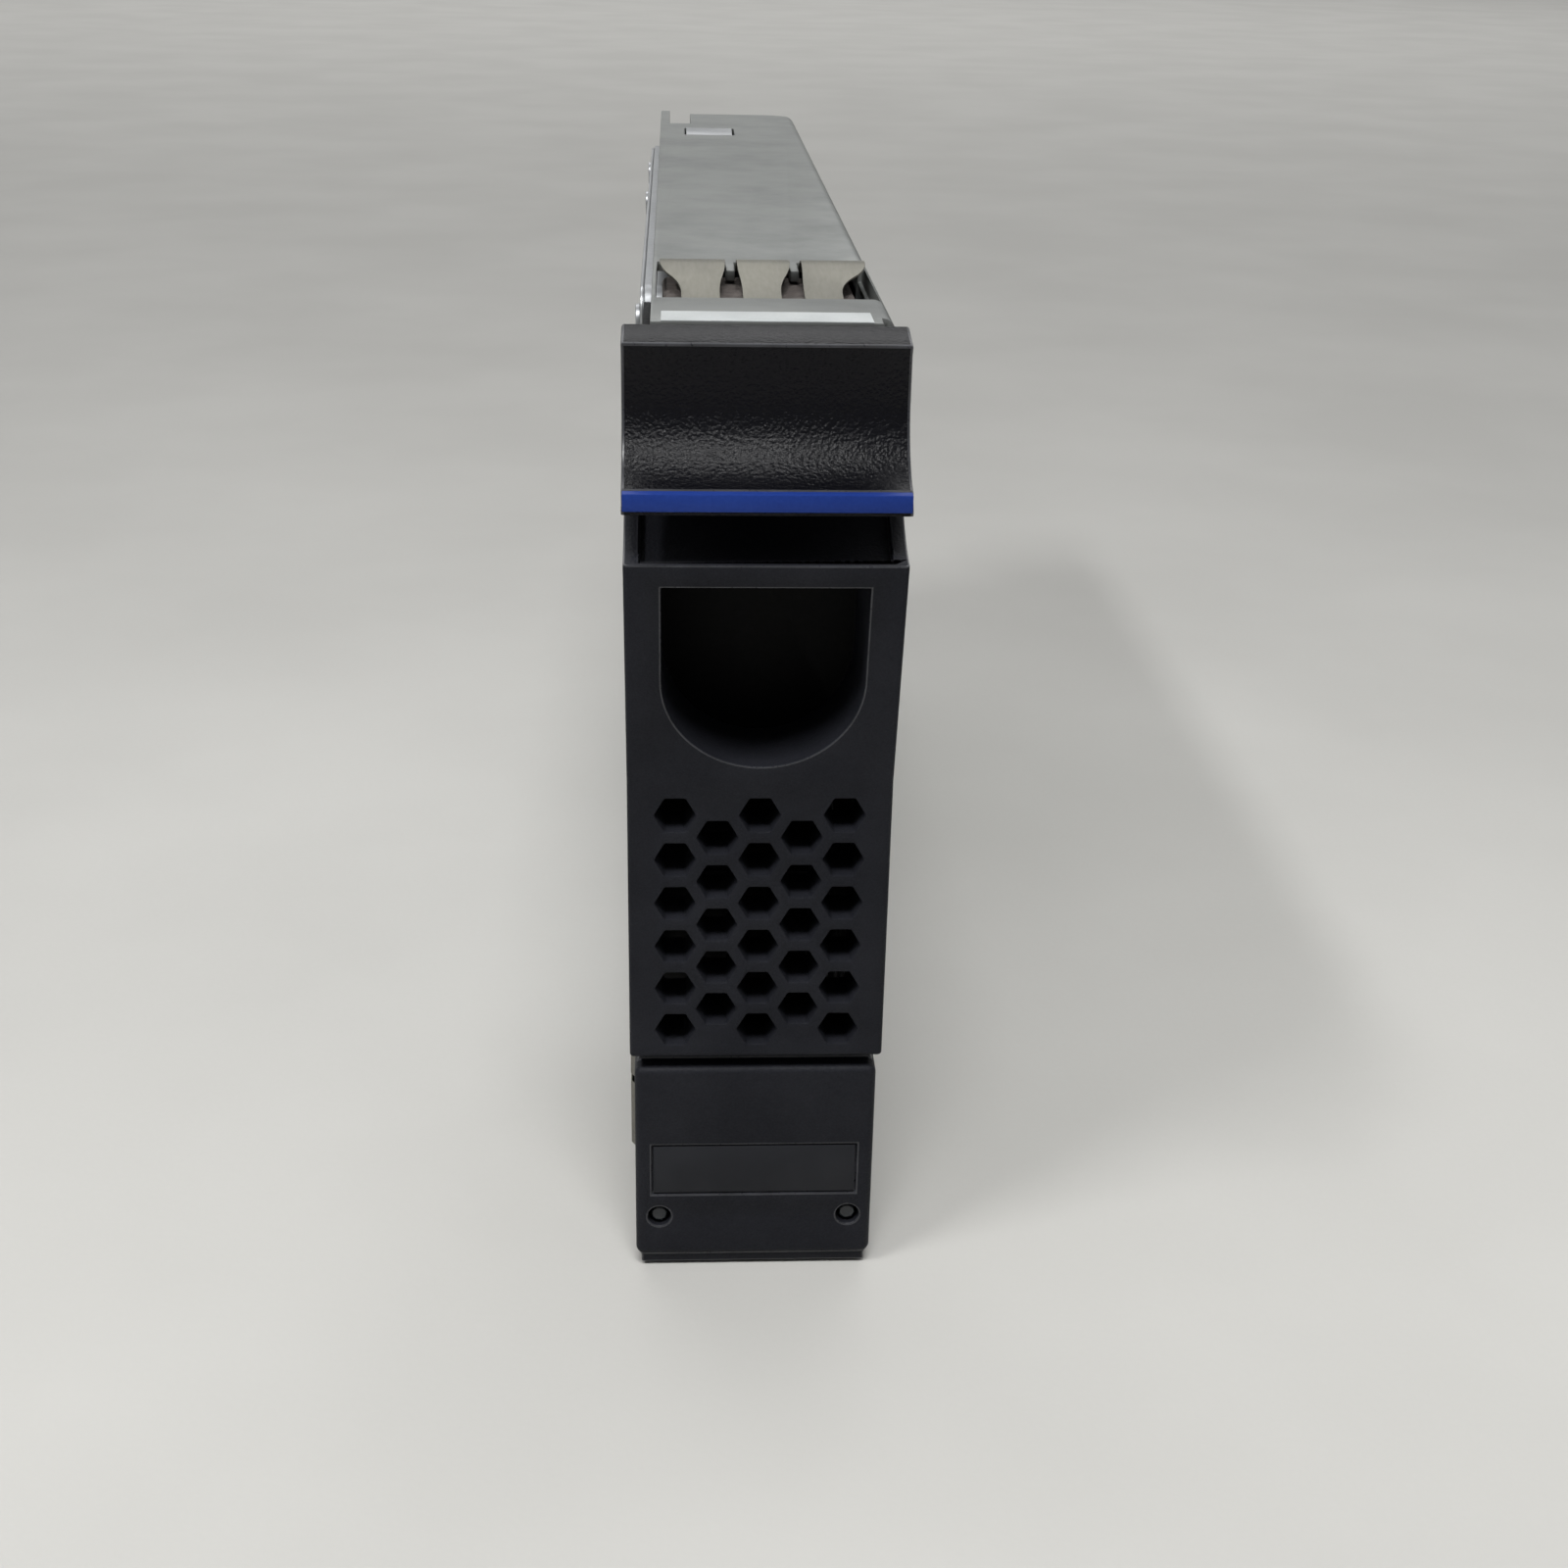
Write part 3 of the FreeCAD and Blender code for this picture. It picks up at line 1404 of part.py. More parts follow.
def build_screen():
    thin = size("screen_gauge")
    flange_back = drive_front - size("screen_drive_gap")
    flange_z = (screen_flange_base, screen_flange_top)
    plate = block("screen_sheet", (screen_left, web_inner), (bezel_back, screen_back),
                  (screen_base, screen_top))
    left = block("screen_left_flange", (screen_left, screen_left + thin), (bezel_back, flange_back), flange_z)
    right = block("screen_right_flange", (web_inner - thin, web_inner), (bezel_back, flange_back), flange_z)
    whole = united("screen_whole", [plate, left, right])
    tools = []
    half = size("screen_slot_width") / 2
    slot_base = bezel_base + size("screen_slot_rise")
    slot_room = size("grille_height") - size("screen_slot_rise") - size("screen_slot_fall")
    slot_height = (slot_room - size("screen_slot_bar")) / 2
    for column in range(-2, 3):
        x = hex_pitch * column
        for row in range(2):
            z = slot_base + (slot_height + size("screen_slot_bar")) * row
            tools.append(block(f"screen_slot_{column + 2}_{row}", (x - half, x + half),
                               (bezel_back - 1, screen_back + 1), (z, z + slot_height)))
    for side in (-1, 1):
        tools.append(rod(f"screen_pipe_hole_{side + 1}", "y",
                         (size("lamp_offset") * side, bezel_back - 1, lamp_height), thin + 2,
                         size("pipe_radius") + size("screen_pipe_gap")))
    for name, (x, z) in screw_bosses().items():
        tools.append(rod(f"screen_hole_{name}", "y", (x, bezel_back - 1, z), thin + 2,
                         size("bezel_screw_radius") + fit))
    for index, (y, z) in enumerate(rivet_points()):
        tools.append(rod(f"screen_rivet_hole_{index}", "x", (web_inner - thin - 1, y, z), thin + 2,
                         size("rivet_radius") + fit))
    subpart("screen_plate", cut("screen_cut", whole, tools))


def screw(name, axis, at, head_radius, head_gauge, shank_radius, shank_length, toward):
    """A headed screw. The head's under side is at the point and the shank runs toward -1 or +1."""
    index = "xyz".index(axis)
    head_at = list(at)
    shank_at = list(at)
    if toward < 0:
        shank_at[index] = at[index] - shank_length
    else:
        head_at[index] = at[index] - head_gauge
    head = rod(f"{name}_head", axis, head_at, head_gauge, head_radius)
    shank = rod(f"{name}_shank", axis, shank_at, shank_length, shank_radius)
    return united(name, [head, shank])


def build_front_fasteners():
    screws = []
    for name, (x, z) in screw_bosses().items():
        screws.append(screw(f"bezel_screw_{name}", "y", (x, screen_back, z), size("bezel_screw_head"),
                            size("bezel_screw_head_gauge"), size("bezel_screw_radius"),
                            size("bezel_screw_length"), -1))
    subpart("bezel_screws", grouped("bezel_screw_set", screws))
    rivets = []
    length = gauge + size("screen_gauge")
    for index, (y, z) in enumerate(rivet_points()):
        shank = rod(f"rivet_{index}_shank", "x", (web_outer - length, y, z), length, size("rivet_radius"))
        outer = rod(f"rivet_{index}_head", "x", (web_outer, y, z),
                    size("rivet_head_gauge"), size("rivet_head"))
        inner = rod(f"rivet_{index}_tail", "x", (web_outer - length - size("rivet_head_gauge"), y, z),
                    size("rivet_head_gauge"), size("rivet_head"))
        rivets.append(united(f"rivet_{index}", [outer, shank, inner]))
    subpart("screen_rivets", grouped("rivet_set", rivets))


# Drive body
cover_seat = drive_left + size("cover_rim_gauge") + size("cover_rise")
chamber_back = cover_seat + size("chamber_depth")
board_pocket = chamber_back + size("chamber_floor")
spindle_y = drive_front + spindle_back
bay_front = spindle_back + size("bay_reach")
board_front = spindle_back + size("board_reach")
board_back = drive_length - size("board_rear_gap")
arm_y = drive_front + arm_pivot_back
arm_z = drive_middle - disc_radius * size("arm_drop_share")
board_inner = board_pocket + size("board_standoff")
board_outer = board_inner + size("board_gauge")
board_y = (drive_front + board_front, drive_front + board_back)
board_z = (drive_low + size("board_edge"), drive_high - size("board_edge"))
plug_z = (drive_low + size("plug_low"), drive_low + size("plug_low") + size("plug_length"))
plug_x = (board_inner - size("plug_thickness"), board_inner - size("plug_board_gap"))
plug_front = drive_rear - size("plug_depth")


def bay_outline(margin):
    return rounded_box((drive_front + bay_front - margin, drive_front + bay_back + margin),
                       (drive_low + size("bay_edge") - margin, drive_high - size("bay_edge") + margin),
                       size("bay_corner"))


def chamber(name, x_span, margin):
    """The disc bore and the arm bay, as one cutting tool."""
    bore = rod(f"{name}_bore", "x", (x_span[0], spindle_y, drive_middle), x_span[1] - x_span[0],
               disc_radius + size("disc_rim_gap") + margin)
    bay = extruded(f"{name}_bay", "x", x_span, bay_outline(margin))
    return united(name, [bore, bay])


def cover_screw_points():
    edge = size("cover_screw_edge")
    ys = (drive_front + edge, spindle_y + size("cover_screw_step"), drive_rear - edge)
    return [(y, z) for y in ys for z in (drive_low + edge, drive_high - edge)]


def board_screw_points():
    edge = size("board_screw_edge")
    ys = (board_y[0] + edge, board_y[1] - edge)
    return [(y, z) for y in ys for z in (board_z[0] + edge, board_z[1] - edge)]


def drive_outline(margin):
    return rounded_box((drive_front + margin, drive_rear - margin),
                       (drive_low + margin, drive_high - margin), size("drive_corner"))


def build_drive_base():
    blank = extruded("drive_blank", "x", (cover_seat, drive_right), drive_outline(zero))
    room = chamber("drive_chamber", (cover_seat - 1, chamber_back), zero)
    gasket_bed = chamber("gasket_bed", (cover_seat - 1, cover_seat + size("gasket_gauge")),
                         size("gasket_width"))
    pocket = extruded("board_pocket", "x", (board_pocket, drive_right + 1),
                      rounded_box((board_y[0] - clear, drive_rear - size("drive_corner")),
                                  (board_z[0] - clear, board_z[1] + clear), size("bay_corner")))
    plug_room = block("plug_room", (plug_x[0] - fit, drive_right + 1), (plug_front - fit, drive_rear + 1),
                      (plug_z[0] - fit, plug_z[1] + fit))
    motor_hole = rod("motor_hole", "x", (chamber_back - 1, spindle_y, drive_middle),
                     size("chamber_floor") + 2, size("motor_bore_radius") + fit)
    motor_seat = rod("motor_seat", "x", (board_pocket - size("motor_flange_gauge"), spindle_y, drive_middle),
                     drive_right - board_pocket + size("motor_flange_gauge") + 1,
                     size("motor_flange_radius") + clear)
    shell = cut("drive_shell", blank, [room, gasket_bed, pocket, plug_room, motor_hole, motor_seat])
    boss_height = board_inner - board_pocket + clear
    bosses = [rod(f"board_boss_{index}", "x", (board_pocket - clear, y, z), boss_height,
                  size("board_boss_radius")) for index, (y, z) in enumerate(board_screw_points())]
    whole = united("drive_base_whole", [shell] + bosses)
    tools = []
    for index, (y, z) in enumerate(drive_screw_points()):
        tools.append(rod(f"drive_thread_{index}", "x", (drive_right - size("drive_screw_bite") - clear, y, z),
                         size("drive_screw_bite") + 1, size("drive_screw_radius") + fit))
    for index, (y, z) in enumerate(cover_screw_points()):
        tools.append(rod(f"cover_thread_{index}", "x", (cover_seat - 1, y, z),
                         size("cover_screw_bite") + 1 + clear, size("cover_screw_radius") + fit))
    for index, (y, z) in enumerate(board_screw_points()):
        tools.append(rod(f"board_thread_{index}", "x", (board_inner - size("board_screw_bite") - clear, y, z),
                         size("board_screw_bite") + 1, size("board_screw_radius") + fit))
    subpart("drive_base", cut("drive_base_cut", whole, tools))


def build_drive_cover():
    rim_x = cover_seat - size("cover_rim_gauge")
    rim = extruded("cover_rim", "x", (rim_x, cover_seat), drive_outline(clear))
    inset = size("cover_inset")
    raised = extruded("cover_plateau", "x", (drive_left, cover_seat),
                      rounded_box((drive_front + inset, drive_rear - inset),
                                  (drive_low + inset, drive_high - inset), size("cover_plateau_corner")))
    holes = [rod(f"cover_hole_{index}", "x", (drive_left - 1, y, z), cover_seat - drive_left + 2,
                 size("cover_screw_radius") + fit) for index, (y, z) in enumerate(cover_screw_points())]
    subpart("drive_cover", cut("drive_cover_cut", united("drive_cover_whole", [rim, raised]), holes))
    gasket_x = (cover_seat, cover_seat + size("gasket_gauge"))
    ring = cut("gasket_ring", chamber("gasket_outer", gasket_x, size("gasket_width")),
               [chamber("gasket_inner", gasket_x, zero)])
    subpart("cover_gasket", ring)
    screws = [screw(f"cover_screw_{index}", "x", (rim_x, y, z), size("cover_screw_head"),
                    size("cover_screw_head_gauge"), size("cover_screw_radius"),
                    size("cover_screw_bite"), 1) for index, (y, z) in enumerate(cover_screw_points())]
    subpart("cover_screws", grouped("cover_screw_set", screws))


def build_drive_screws():
    screws = []
    for index, (y, z) in enumerate(drive_screw_points()):
        head = taper(f"drive_screw_{index}_head", "x", (web_outer - gauge, y, z), gauge,
                     size("drive_screw_radius"), size("drive_screw_head"))
        length = web_outer - gauge - drive_right + size("drive_screw_bite")
        shank = rod(f"drive_screw_{index}_shank", "x", (web_outer - gauge - length, y, z), length,
                    size("drive_screw_radius"))
        screws.append(united(f"drive_screw_{index}", [head, shank]))
    subpart("drive_screws", grouped("drive_screw_set", screws))


# Circuit board of the drive
def build_board():
    blank = extruded("board_blank", "x", (board_inner, board_outer),
                     rounded_box(board_y, board_z, size("bay_corner")))
    tools = [rod(f"board_hole_{index}", "x", (board_inner - 1, y, z), size("board_gauge") + 2,
                 size("board_screw_radius") + fit) for index, (y, z) in enumerate(board_screw_points())]
    tools.append(rod("board_motor_hole", "x", (board_inner - 1, spindle_y, drive_middle),
                     size("board_gauge") + 2, size("motor_flange_radius") + clear))
    subpart("drive_board", cut("board_cut", blank, tools))
    chip_x = (board_inner - size("chip_gauge"), board_inner)

    def chip(name, y, z, length, width):
        return block(name, chip_x, (y - length / 2, y + length / 2), (z - width / 2, z + width / 2))

    chips = [
        chip("main_chip", arm_y - size("main_chip_step"), drive_middle + size("main_chip_rise"),
             size("main_chip_side"), size("main_chip_side")),
        chip("memory_chip", arm_y + size("memory_chip_step"), drive_middle + size("memory_chip_rise"),
             size("memory_chip_width"), size("memory_chip_length")),
        chip("motor_chip", arm_y - size("motor_chip_step"), drive_middle - size("motor_chip_drop"),
             size("motor_chip_side"), size("motor_chip_side")),
    ]
    subpart("board_chips", grouped("chip_set", chips))
    screws = [screw(f"board_screw_{index}", "x", (board_outer, y, z), size("board_screw_head"),
                    size("board_screw_head_gauge"), size("board_screw_radius"),
                    size("board_gauge") + size("board_screw_bite"), -1)
              for index, (y, z) in enumerate(board_screw_points())]
    subpart("board_screws", grouped("board_screw_set", screws))


# Plug of the drive, bridge card and its connectors
def tongue_spans():
    first = plug_z[0] + size("plug_tongue_margin")
    last = plug_z[1] - size("plug_tongue_margin")
    return [(first, first + size("power_tongue_length")), (last - size("data_tongue_length"), last)]


tongue_middle = (plug_x[0] + plug_x[1]) / 2
tongue_x = (tongue_middle - size("plug_tongue_gauge") / 2, tongue_middle + size("plug_tongue_gauge") / 2)


def build_connectors():
    back_wall = plug_front + size("plug_back_wall")
    housing = block("plug_housing", plug_x, (plug_front, back_wall), plug_z)
    tongue_y = (plug_front, drive_rear - size("plug_tongue_inset"))
    tongues = [block(f"plug_tongue_{index}", tongue_x, tongue_y, span)
               for index, span in enumerate(tongue_spans())]
    subpart("drive_plug", united("drive_plug_whole", [housing] + tongues))

    socket_front = drive_rear - size("socket_entry")
    margin = size("socket_margin")
    socket_x = (tongue_x[0] - margin, tongue_x[1] + margin)
    socket = block("socket_block", socket_x, (socket_front, card_front),
                   (tongue_spans()[0][0] - margin, tongue_spans()[1][1] + margin))
    wells = [block(f"socket_well_{index}", (tongue_x[0] - clear, tongue_x[1] + clear),
                   (socket_front - 1, drive_rear + clear), (span[0] - clear, span[1] + clear))
             for index, span in enumerate(tongue_spans())]
    subpart("card_socket", cut("card_socket_cut", socket, wells))

    card_right = web_inner - size("card_web_gap")
    card = block("card_blank", (-size("card_left"), card_right), (card_front, card_rear),
                 (card_base, card_top))
    holes = [rod(f"card_hole_{index}", "y", (x, card_front - 1, z), size("card_gauge") + 2,
                 size("card_screw_radius") + fit) for index, (x, z) in enumerate(ear_points())]
    subpart("bridge_card", cut("bridge_card_cut", card, holes))
    screws = [screw(f"card_screw_{index}", "y", (x, card_front, z), size("card_screw_head"),
                    size("card_screw_head_gauge"), size("card_screw_radius"), size("card_gauge") + gauge, 1)
              for index, (x, z) in enumerate(ear_points())]
    subpart("card_screws", grouped("card_screw_set", screws))
    half = size("lamp_side") / 2
    lamps = [block(f"lamp_{side + 1}", (size("lamp_offset") * side - half, size("lamp_offset") * side + half),
                   (card_front - size("lamp_gauge"), card_front),
                   (pipe_low_height - half, pipe_low_height + half)) for side in (-1, 1)]
    subpart("status_lamps", grouped("lamp_set", lamps))

    middle = -size("shelf_plug_shift")
    half_width = size("shelf_plug_width") / 2
    half_height = size("shelf_plug_height") / 2
    centre = drive_middle + size("shelf_plug_rise")
    rear = card_rear + size("shelf_plug_depth")
    wall = size("shelf_plug_wall")
    body = extruded("shelf_plug_body", "y", (card_rear, rear),
                    rounded_box((middle - half_width, middle + half_width),
                                (centre - half_height, centre + half_height), wall))
    well = block("shelf_plug_room", (middle - half_width + wall, middle + half_width - wall),
                 (rear - size("shelf_plug_well"), rear + 1),
                 (centre - half_height + wall, centre + half_height - wall))
    tongue_half = size("shelf_plug_tongue") / 2
    tongue = block("shelf_plug_blade", (middle - tongue_half, middle + tongue_half),
                   (card_rear, rear - wall),
                   (centre - half_height + wall * 2, centre + half_height - wall * 2))
    subpart("shelf_plug", united("shelf_plug_whole", [cut("shelf_plug_shell", body, [well]), tongue]))


# Discs on their spindle
disc_step = size("disc_gauge") + size("disc_gap")
stack_base = chamber_back - size("disc_floor_gap")
stack_count = 4
stack_top = stack_base - disc_step * (stack_count - 1) - size("disc_gauge")
hub_bottom = stack_base + size("hub_flange_gauge")
shaft_top = stack_top - size("clamp_gauge") - size("shaft_top_gap")


def spindle_rod(name, x_span, radius):
    return rod(name, "x", (x_span[0], spindle_y, drive_middle), x_span[1] - x_span[0], radius)


def spindle_ring(name, left, right, radius):
    """A flat ring on the spindle, with the bore that fits the hub."""
    return cut(name, spindle_rod(f"{name}_plate", (left, right), radius),
               [spindle_rod(f"{name}_bore", (left - 1, right + 1), size("disc_bore"))])


def build_spindle():
    floor_plug = spindle_rod("motor_floor_plug", (chamber_back, board_pocket), size("motor_bore_radius"))
    flange = spindle_rod("motor_flange", (board_pocket - size("motor_flange_gauge"), board_pocket),
                         size("motor_flange_radius"))
    shaft = spindle_rod("motor_shaft", (shaft_top, board_pocket), size("shaft_radius"))
    subpart("spindle_motor", united("spindle_motor_whole", [floor_plug, flange, shaft]))

    stator_x = (chamber_back - size("stator_gauge"), chamber_back)
    stator = cut("stator_ring", spindle_rod("stator_outer_rod", stator_x, size("stator_outer")),
                 [spindle_rod("stator_inner_rod", (stator_x[0] - 1, stator_x[1] + 1), size("stator_inner"))])
    subpart("motor_stator", stator)

    barrel = spindle_rod("hub_barrel", (stack_top, hub_bottom), size("disc_bore") - fit)
    rim = spindle_rod("hub_flange", (stack_base, hub_bottom), size("hub_flange_radius"))
    well = spindle_rod("hub_well", (stack_top + size("hub_roof"), hub_bottom + 1), size("hub_well_radius"))
    bore = spindle_rod("hub_bore", (stack_top - 1, hub_bottom + 1), size("shaft_radius") + fit)
    threads = [rod(f"hub_thread_{index}", "x", (stack_top - 1, y, z), size("clamp_screw_bite") + 1 + fit,
                   size("clamp_screw_radius") + fit) for index, (y, z) in enumerate(clamp_screw_points())]
    subpart("spindle_hub", cut("hub_cut", united("hub_whole", [barrel, rim]), [well, bore] + threads))

    discs = []
    spacers = []
    for index in range(stack_count):
        disc_right = stack_base - disc_step * index
        disc_left = disc_right - size("disc_gauge")
        discs.append(spindle_ring(f"disc_{index}", disc_left, disc_right, disc_radius))
        if index < stack_count - 1:
            spacers.append(spindle_ring(f"spacer_{index}", disc_left - size("disc_gap"), disc_left,
                                        size("hub_flange_radius")))
    subpart("discs", grouped("disc_set", discs))
    subpart("disc_spacers", grouped("spacer_set", spacers))

    clamp_x = (stack_top - size("clamp_gauge"), stack_top)
    holes = [rod(f"clamp_hole_{index}", "x", (clamp_x[0] - 1, y, z), size("clamp_gauge") + 2,
                 size("clamp_screw_radius") + fit) for index, (y, z) in enumerate(clamp_screw_points())]
    centre = spindle_rod("clamp_bore", (clamp_x[0] - 1, clamp_x[1] + 1), size("shaft_radius") + clear)
    clamp = spindle_rod("clamp_plate", clamp_x, size("clamp_radius"))
    subpart("disc_clamp", cut("clamp_cut", clamp, [centre] + holes))
    screws = [screw(f"clamp_screw_{index}", "x", (clamp_x[0], y, z), size("clamp_screw_head"),
                    size("clamp_screw_head_gauge"), size("clamp_screw_radius"),
                    size("clamp_gauge") + size("clamp_screw_bite"), 1)
              for index, (y, z) in enumerate(clamp_screw_points())]
    subpart("clamp_screws", grouped("clamp_screw_set", screws))


def clamp_screw_points():
    ring = size("clamp_screw_ring")
    return [(spindle_y + ring * cosine(angle), drive_middle + ring * sine(angle))
            for angle in (45, 135, 225, 315)]


# Head stack
arm_count = stack_count + 1
arm_first = stack_base + size("disc_gap") / 2
arm_last = arm_first - disc_step * stack_count
gap_middle = (arm_first + arm_last) / 2


arm_length = disc_radius * size("arm_share")
coil_outer = yoke_outer - size("coil_inset")


def arm_point(along, across, angle):
    """A point beside the pivot, along and across a direction."""
    return (arm_y + along * cosine(angle) - across * sine(angle),
            arm_z + along * sine(angle) + across * cosine(angle))


def tapered_arm(name, x_span, start, end, start_width, end_width):
    angle = size("arm_angle")
    return extruded(name, "x", x_span, [
        arm_point(start, -start_width / 2, angle),
        arm_point(end, -end_width / 2, angle),
        arm_point(end, end_width / 2, angle),
        arm_point(start, start_width / 2, angle),
    ])


def pivot_rod(name, x_span, radius):
    return rod(name, "x", (x_span[0], arm_y, arm_z), x_span[1] - x_span[0], radius)


def build_head_stack():
    half_arm = size("arm_gauge") / 2
    block_x = (arm_last - half_arm, arm_first + half_arm)
    subpart("arm_pivot", pivot_rod("arm_pivot_post", (block_x[0] - size("arm_pivot_top_gap"), chamber_back),
                                   size("arm_pivot_radius")))
    pieces = [pivot_rod("arm_hub", block_x, size("arm_hub_radius"))]
    blades = []
    half_blade = size("blade_gauge") / 2
    for index in range(arm_count):
        x = arm_first - disc_step * index
        pieces.append(tapered_arm(f"arm_{index}", (x - half_arm, x + half_arm), zero, arm_length,
                                  size("arm_root_width"), size("arm_tip_width")))
        blades.append(tapered_arm(f"blade_{index}", (x - half_blade, x + half_blade), arm_length,
                                  arm_length + size("blade_length"),
                                  size("blade_root_width"), size("blade_tip_width")))
    coil_x = (gap_middle - size("coil_gauge") / 2, gap_middle + size("coil_gauge") / 2)
    angle = size("coil_angle")
    stem_half = size("coil_stem_width") / 2
    stem_end = root(size("coil_inner") * size("coil_inner") - stem_half * stem_half)
    pieces.append(extruded("coil_stem", "x", coil_x, [
        arm_point(zero, -stem_half, angle),
        arm_point(stem_end, -stem_half, angle),
        arm_point(stem_end, stem_half, angle),
        arm_point(zero, stem_half, angle),
    ]))
    bore = pivot_rod("arm_bore", (block_x[0] - 1, block_x[1] + 1), size("arm_pivot_radius") + fit)
    subpart("head_arm", cut("head_arm_cut", united("head_arm_whole", pieces), [bore]))
    subpart("head_blades", grouped("blade_set", blades))
    centre = (arm_y, arm_z)
    wire = size("coil_wire_width")
    half_angle = size("coil_half_angle")
    window_half = half_angle * (coil_outer - wire * 2) / (coil_outer + wire)
    coil = extruded("coil_ring", "x", coil_x,
                    ring_sector(centre, size("coil_inner"), coil_outer,
                                angle - half_angle, angle + half_angle),
                    ring_sector(centre, size("coil_inner") + wire, coil_outer - wire,
                                angle - window_half / 2, angle + window_half / 2))
    subpart("voice_coil", coil)


def build_magnets():
    centre = (arm_y, arm_z)
    half_gap = size("magnet_gap") / 2
    low_magnet = (gap_middle + half_gap, gap_middle + half_gap + size("magnet_gauge"))
    low_yoke = (low_magnet[1], chamber_back)
    high_magnet = (gap_middle - half_gap - size("magnet_gauge"), gap_middle - half_gap)
    high_yoke = (high_magnet[0] - size("yoke_gauge"), high_magnet[0])
    start = size("yoke_start_angle")
    end = size("yoke_end_angle")
    yoke_plan = ring_sector(centre, size("yoke_inner"), yoke_outer, start, end)
    posts = []
    margin = size("yoke_post_margin")
    for name, angle in (("first", start + margin), ("last", end - margin)):
        at = arm_point(yoke_outer - size("yoke_post_inset"), zero, angle)
        posts.append(rod(f"yoke_post_{name}", "x", (high_yoke[1], at[0], at[1]), low_yoke[1] - high_yoke[1],
                         size("yoke_post_radius")))
    lower_plate = extruded("lower_yoke_plate", "x", low_yoke, yoke_plan)
    subpart("lower_yoke", united("lower_yoke_whole", [lower_plate] + posts))
    subpart("upper_yoke", extruded("upper_yoke_plate", "x", high_yoke, yoke_plan))
    magnet_plan = ring_sector(centre, size("magnet_inner"), yoke_outer - size("magnet_inset"),
                              size("magnet_start_angle"), size("magnet_end_angle"))
    subpart("magnets", grouped("magnet_set", [extruded("low_magnet", "x", low_magnet, magnet_plan),
                                              extruded("high_magnet", "x", high_magnet, magnet_plan)]))


def build_chamber_fittings():
    angle = size("arm_angle")
    start = arm_length + size("blade_length") + size("ramp_gap")
    half = size("ramp_width") / 2
    ramp = extruded("ramp_block", "x", (chamber_back - size("ramp_height"), chamber_back), [
        arm_point(start, -half, angle),
        arm_point(start + size("ramp_length"), -half, angle),
        arm_point(start + size("ramp_length"), half, angle),
        arm_point(start, half, angle),
    ])
    subpart("parking_ramp", ramp)
    y = drive_front + bay_back - size("filter_gap") - size("filter_length")
    z = arm_z + size("filter_rise")
    subpart("air_filter", block("filter_block", (chamber_back - size("filter_depth"), chamber_back),
                                (y, y + size("filter_length")), (z, z + size("filter_width"))))


build_handle()
subpart("blue_strip", extruded("blue_strip_inlay", "x", (-strip_half, strip_half), strip_outline))
subpart("hinge_pin", rod("hinge_pin_rod", "x", (-pin_half, pivot_y, pivot_z), pin_half * 2,
                         size("pin_radius")))
build_catch()
build_bezel()
build_cap()
build_light_pipe("light_pipe_left", -1)
build_light_pipe("light_pipe_right", 1)
build_tray()
build_label()
build_roof_contacts()
build_side_contacts("left_contacts", screen_left, size("side_contact_bow"), -1)
build_side_contacts("right_contacts", web_outer, size("web_contact_bow"), 1)
build_screen()
build_front_fasteners()
build_drive_base()
build_drive_cover()
build_drive_screws()
build_board()
build_connectors()
build_spindle()
build_head_stack()
build_magnets()
build_chamber_fittings()
doc.recompute()

for item in doc.Objects:
    if "Invalid" in item.State or "Error" in item.State:
        raise RuntimeError(f"{item.Name} did not build: {item.State}")
for item in subparts:
    if item.Shape.isNull() or not item.Shape.isValid():
        raise RuntimeError(f"{item.Label} has no valid shape")

os.makedirs("parts", exist_ok=True)
for item in subparts:
    item.Shape.exportStep(os.path.join("parts", f"{item.Label}.step"))
print(len(subparts), "pieces written")
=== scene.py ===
import math
import bpy
from mathutils import Matrix, Vector


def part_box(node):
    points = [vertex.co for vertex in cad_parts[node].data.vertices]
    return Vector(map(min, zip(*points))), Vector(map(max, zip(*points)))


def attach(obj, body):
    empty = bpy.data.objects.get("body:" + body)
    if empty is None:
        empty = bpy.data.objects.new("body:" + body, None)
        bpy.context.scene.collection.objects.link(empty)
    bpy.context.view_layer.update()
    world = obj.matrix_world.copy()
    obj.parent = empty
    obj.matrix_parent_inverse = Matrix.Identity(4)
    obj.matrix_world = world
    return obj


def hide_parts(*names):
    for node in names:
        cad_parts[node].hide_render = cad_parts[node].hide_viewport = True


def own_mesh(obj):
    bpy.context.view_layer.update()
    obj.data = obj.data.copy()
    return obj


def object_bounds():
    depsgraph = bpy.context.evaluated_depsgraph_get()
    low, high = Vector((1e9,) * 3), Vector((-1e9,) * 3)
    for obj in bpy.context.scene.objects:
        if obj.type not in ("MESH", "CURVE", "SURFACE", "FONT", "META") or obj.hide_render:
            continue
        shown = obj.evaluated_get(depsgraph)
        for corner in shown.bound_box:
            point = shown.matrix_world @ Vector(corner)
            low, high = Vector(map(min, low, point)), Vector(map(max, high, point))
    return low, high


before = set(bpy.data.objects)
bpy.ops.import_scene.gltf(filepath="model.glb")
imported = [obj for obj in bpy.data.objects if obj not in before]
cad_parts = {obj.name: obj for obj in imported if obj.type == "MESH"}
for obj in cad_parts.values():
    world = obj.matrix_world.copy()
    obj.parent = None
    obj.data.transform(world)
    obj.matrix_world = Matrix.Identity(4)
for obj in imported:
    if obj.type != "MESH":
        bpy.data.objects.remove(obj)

cad_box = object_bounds()
bpy.ops.object.select_all(action="DESELECT")

# The table, the light and the camera
# A pale sheet of card runs under the drive and far behind it. A short tube high on the left
# throws one soft-edged shadow to the right, and the rest of the light is even and from above.


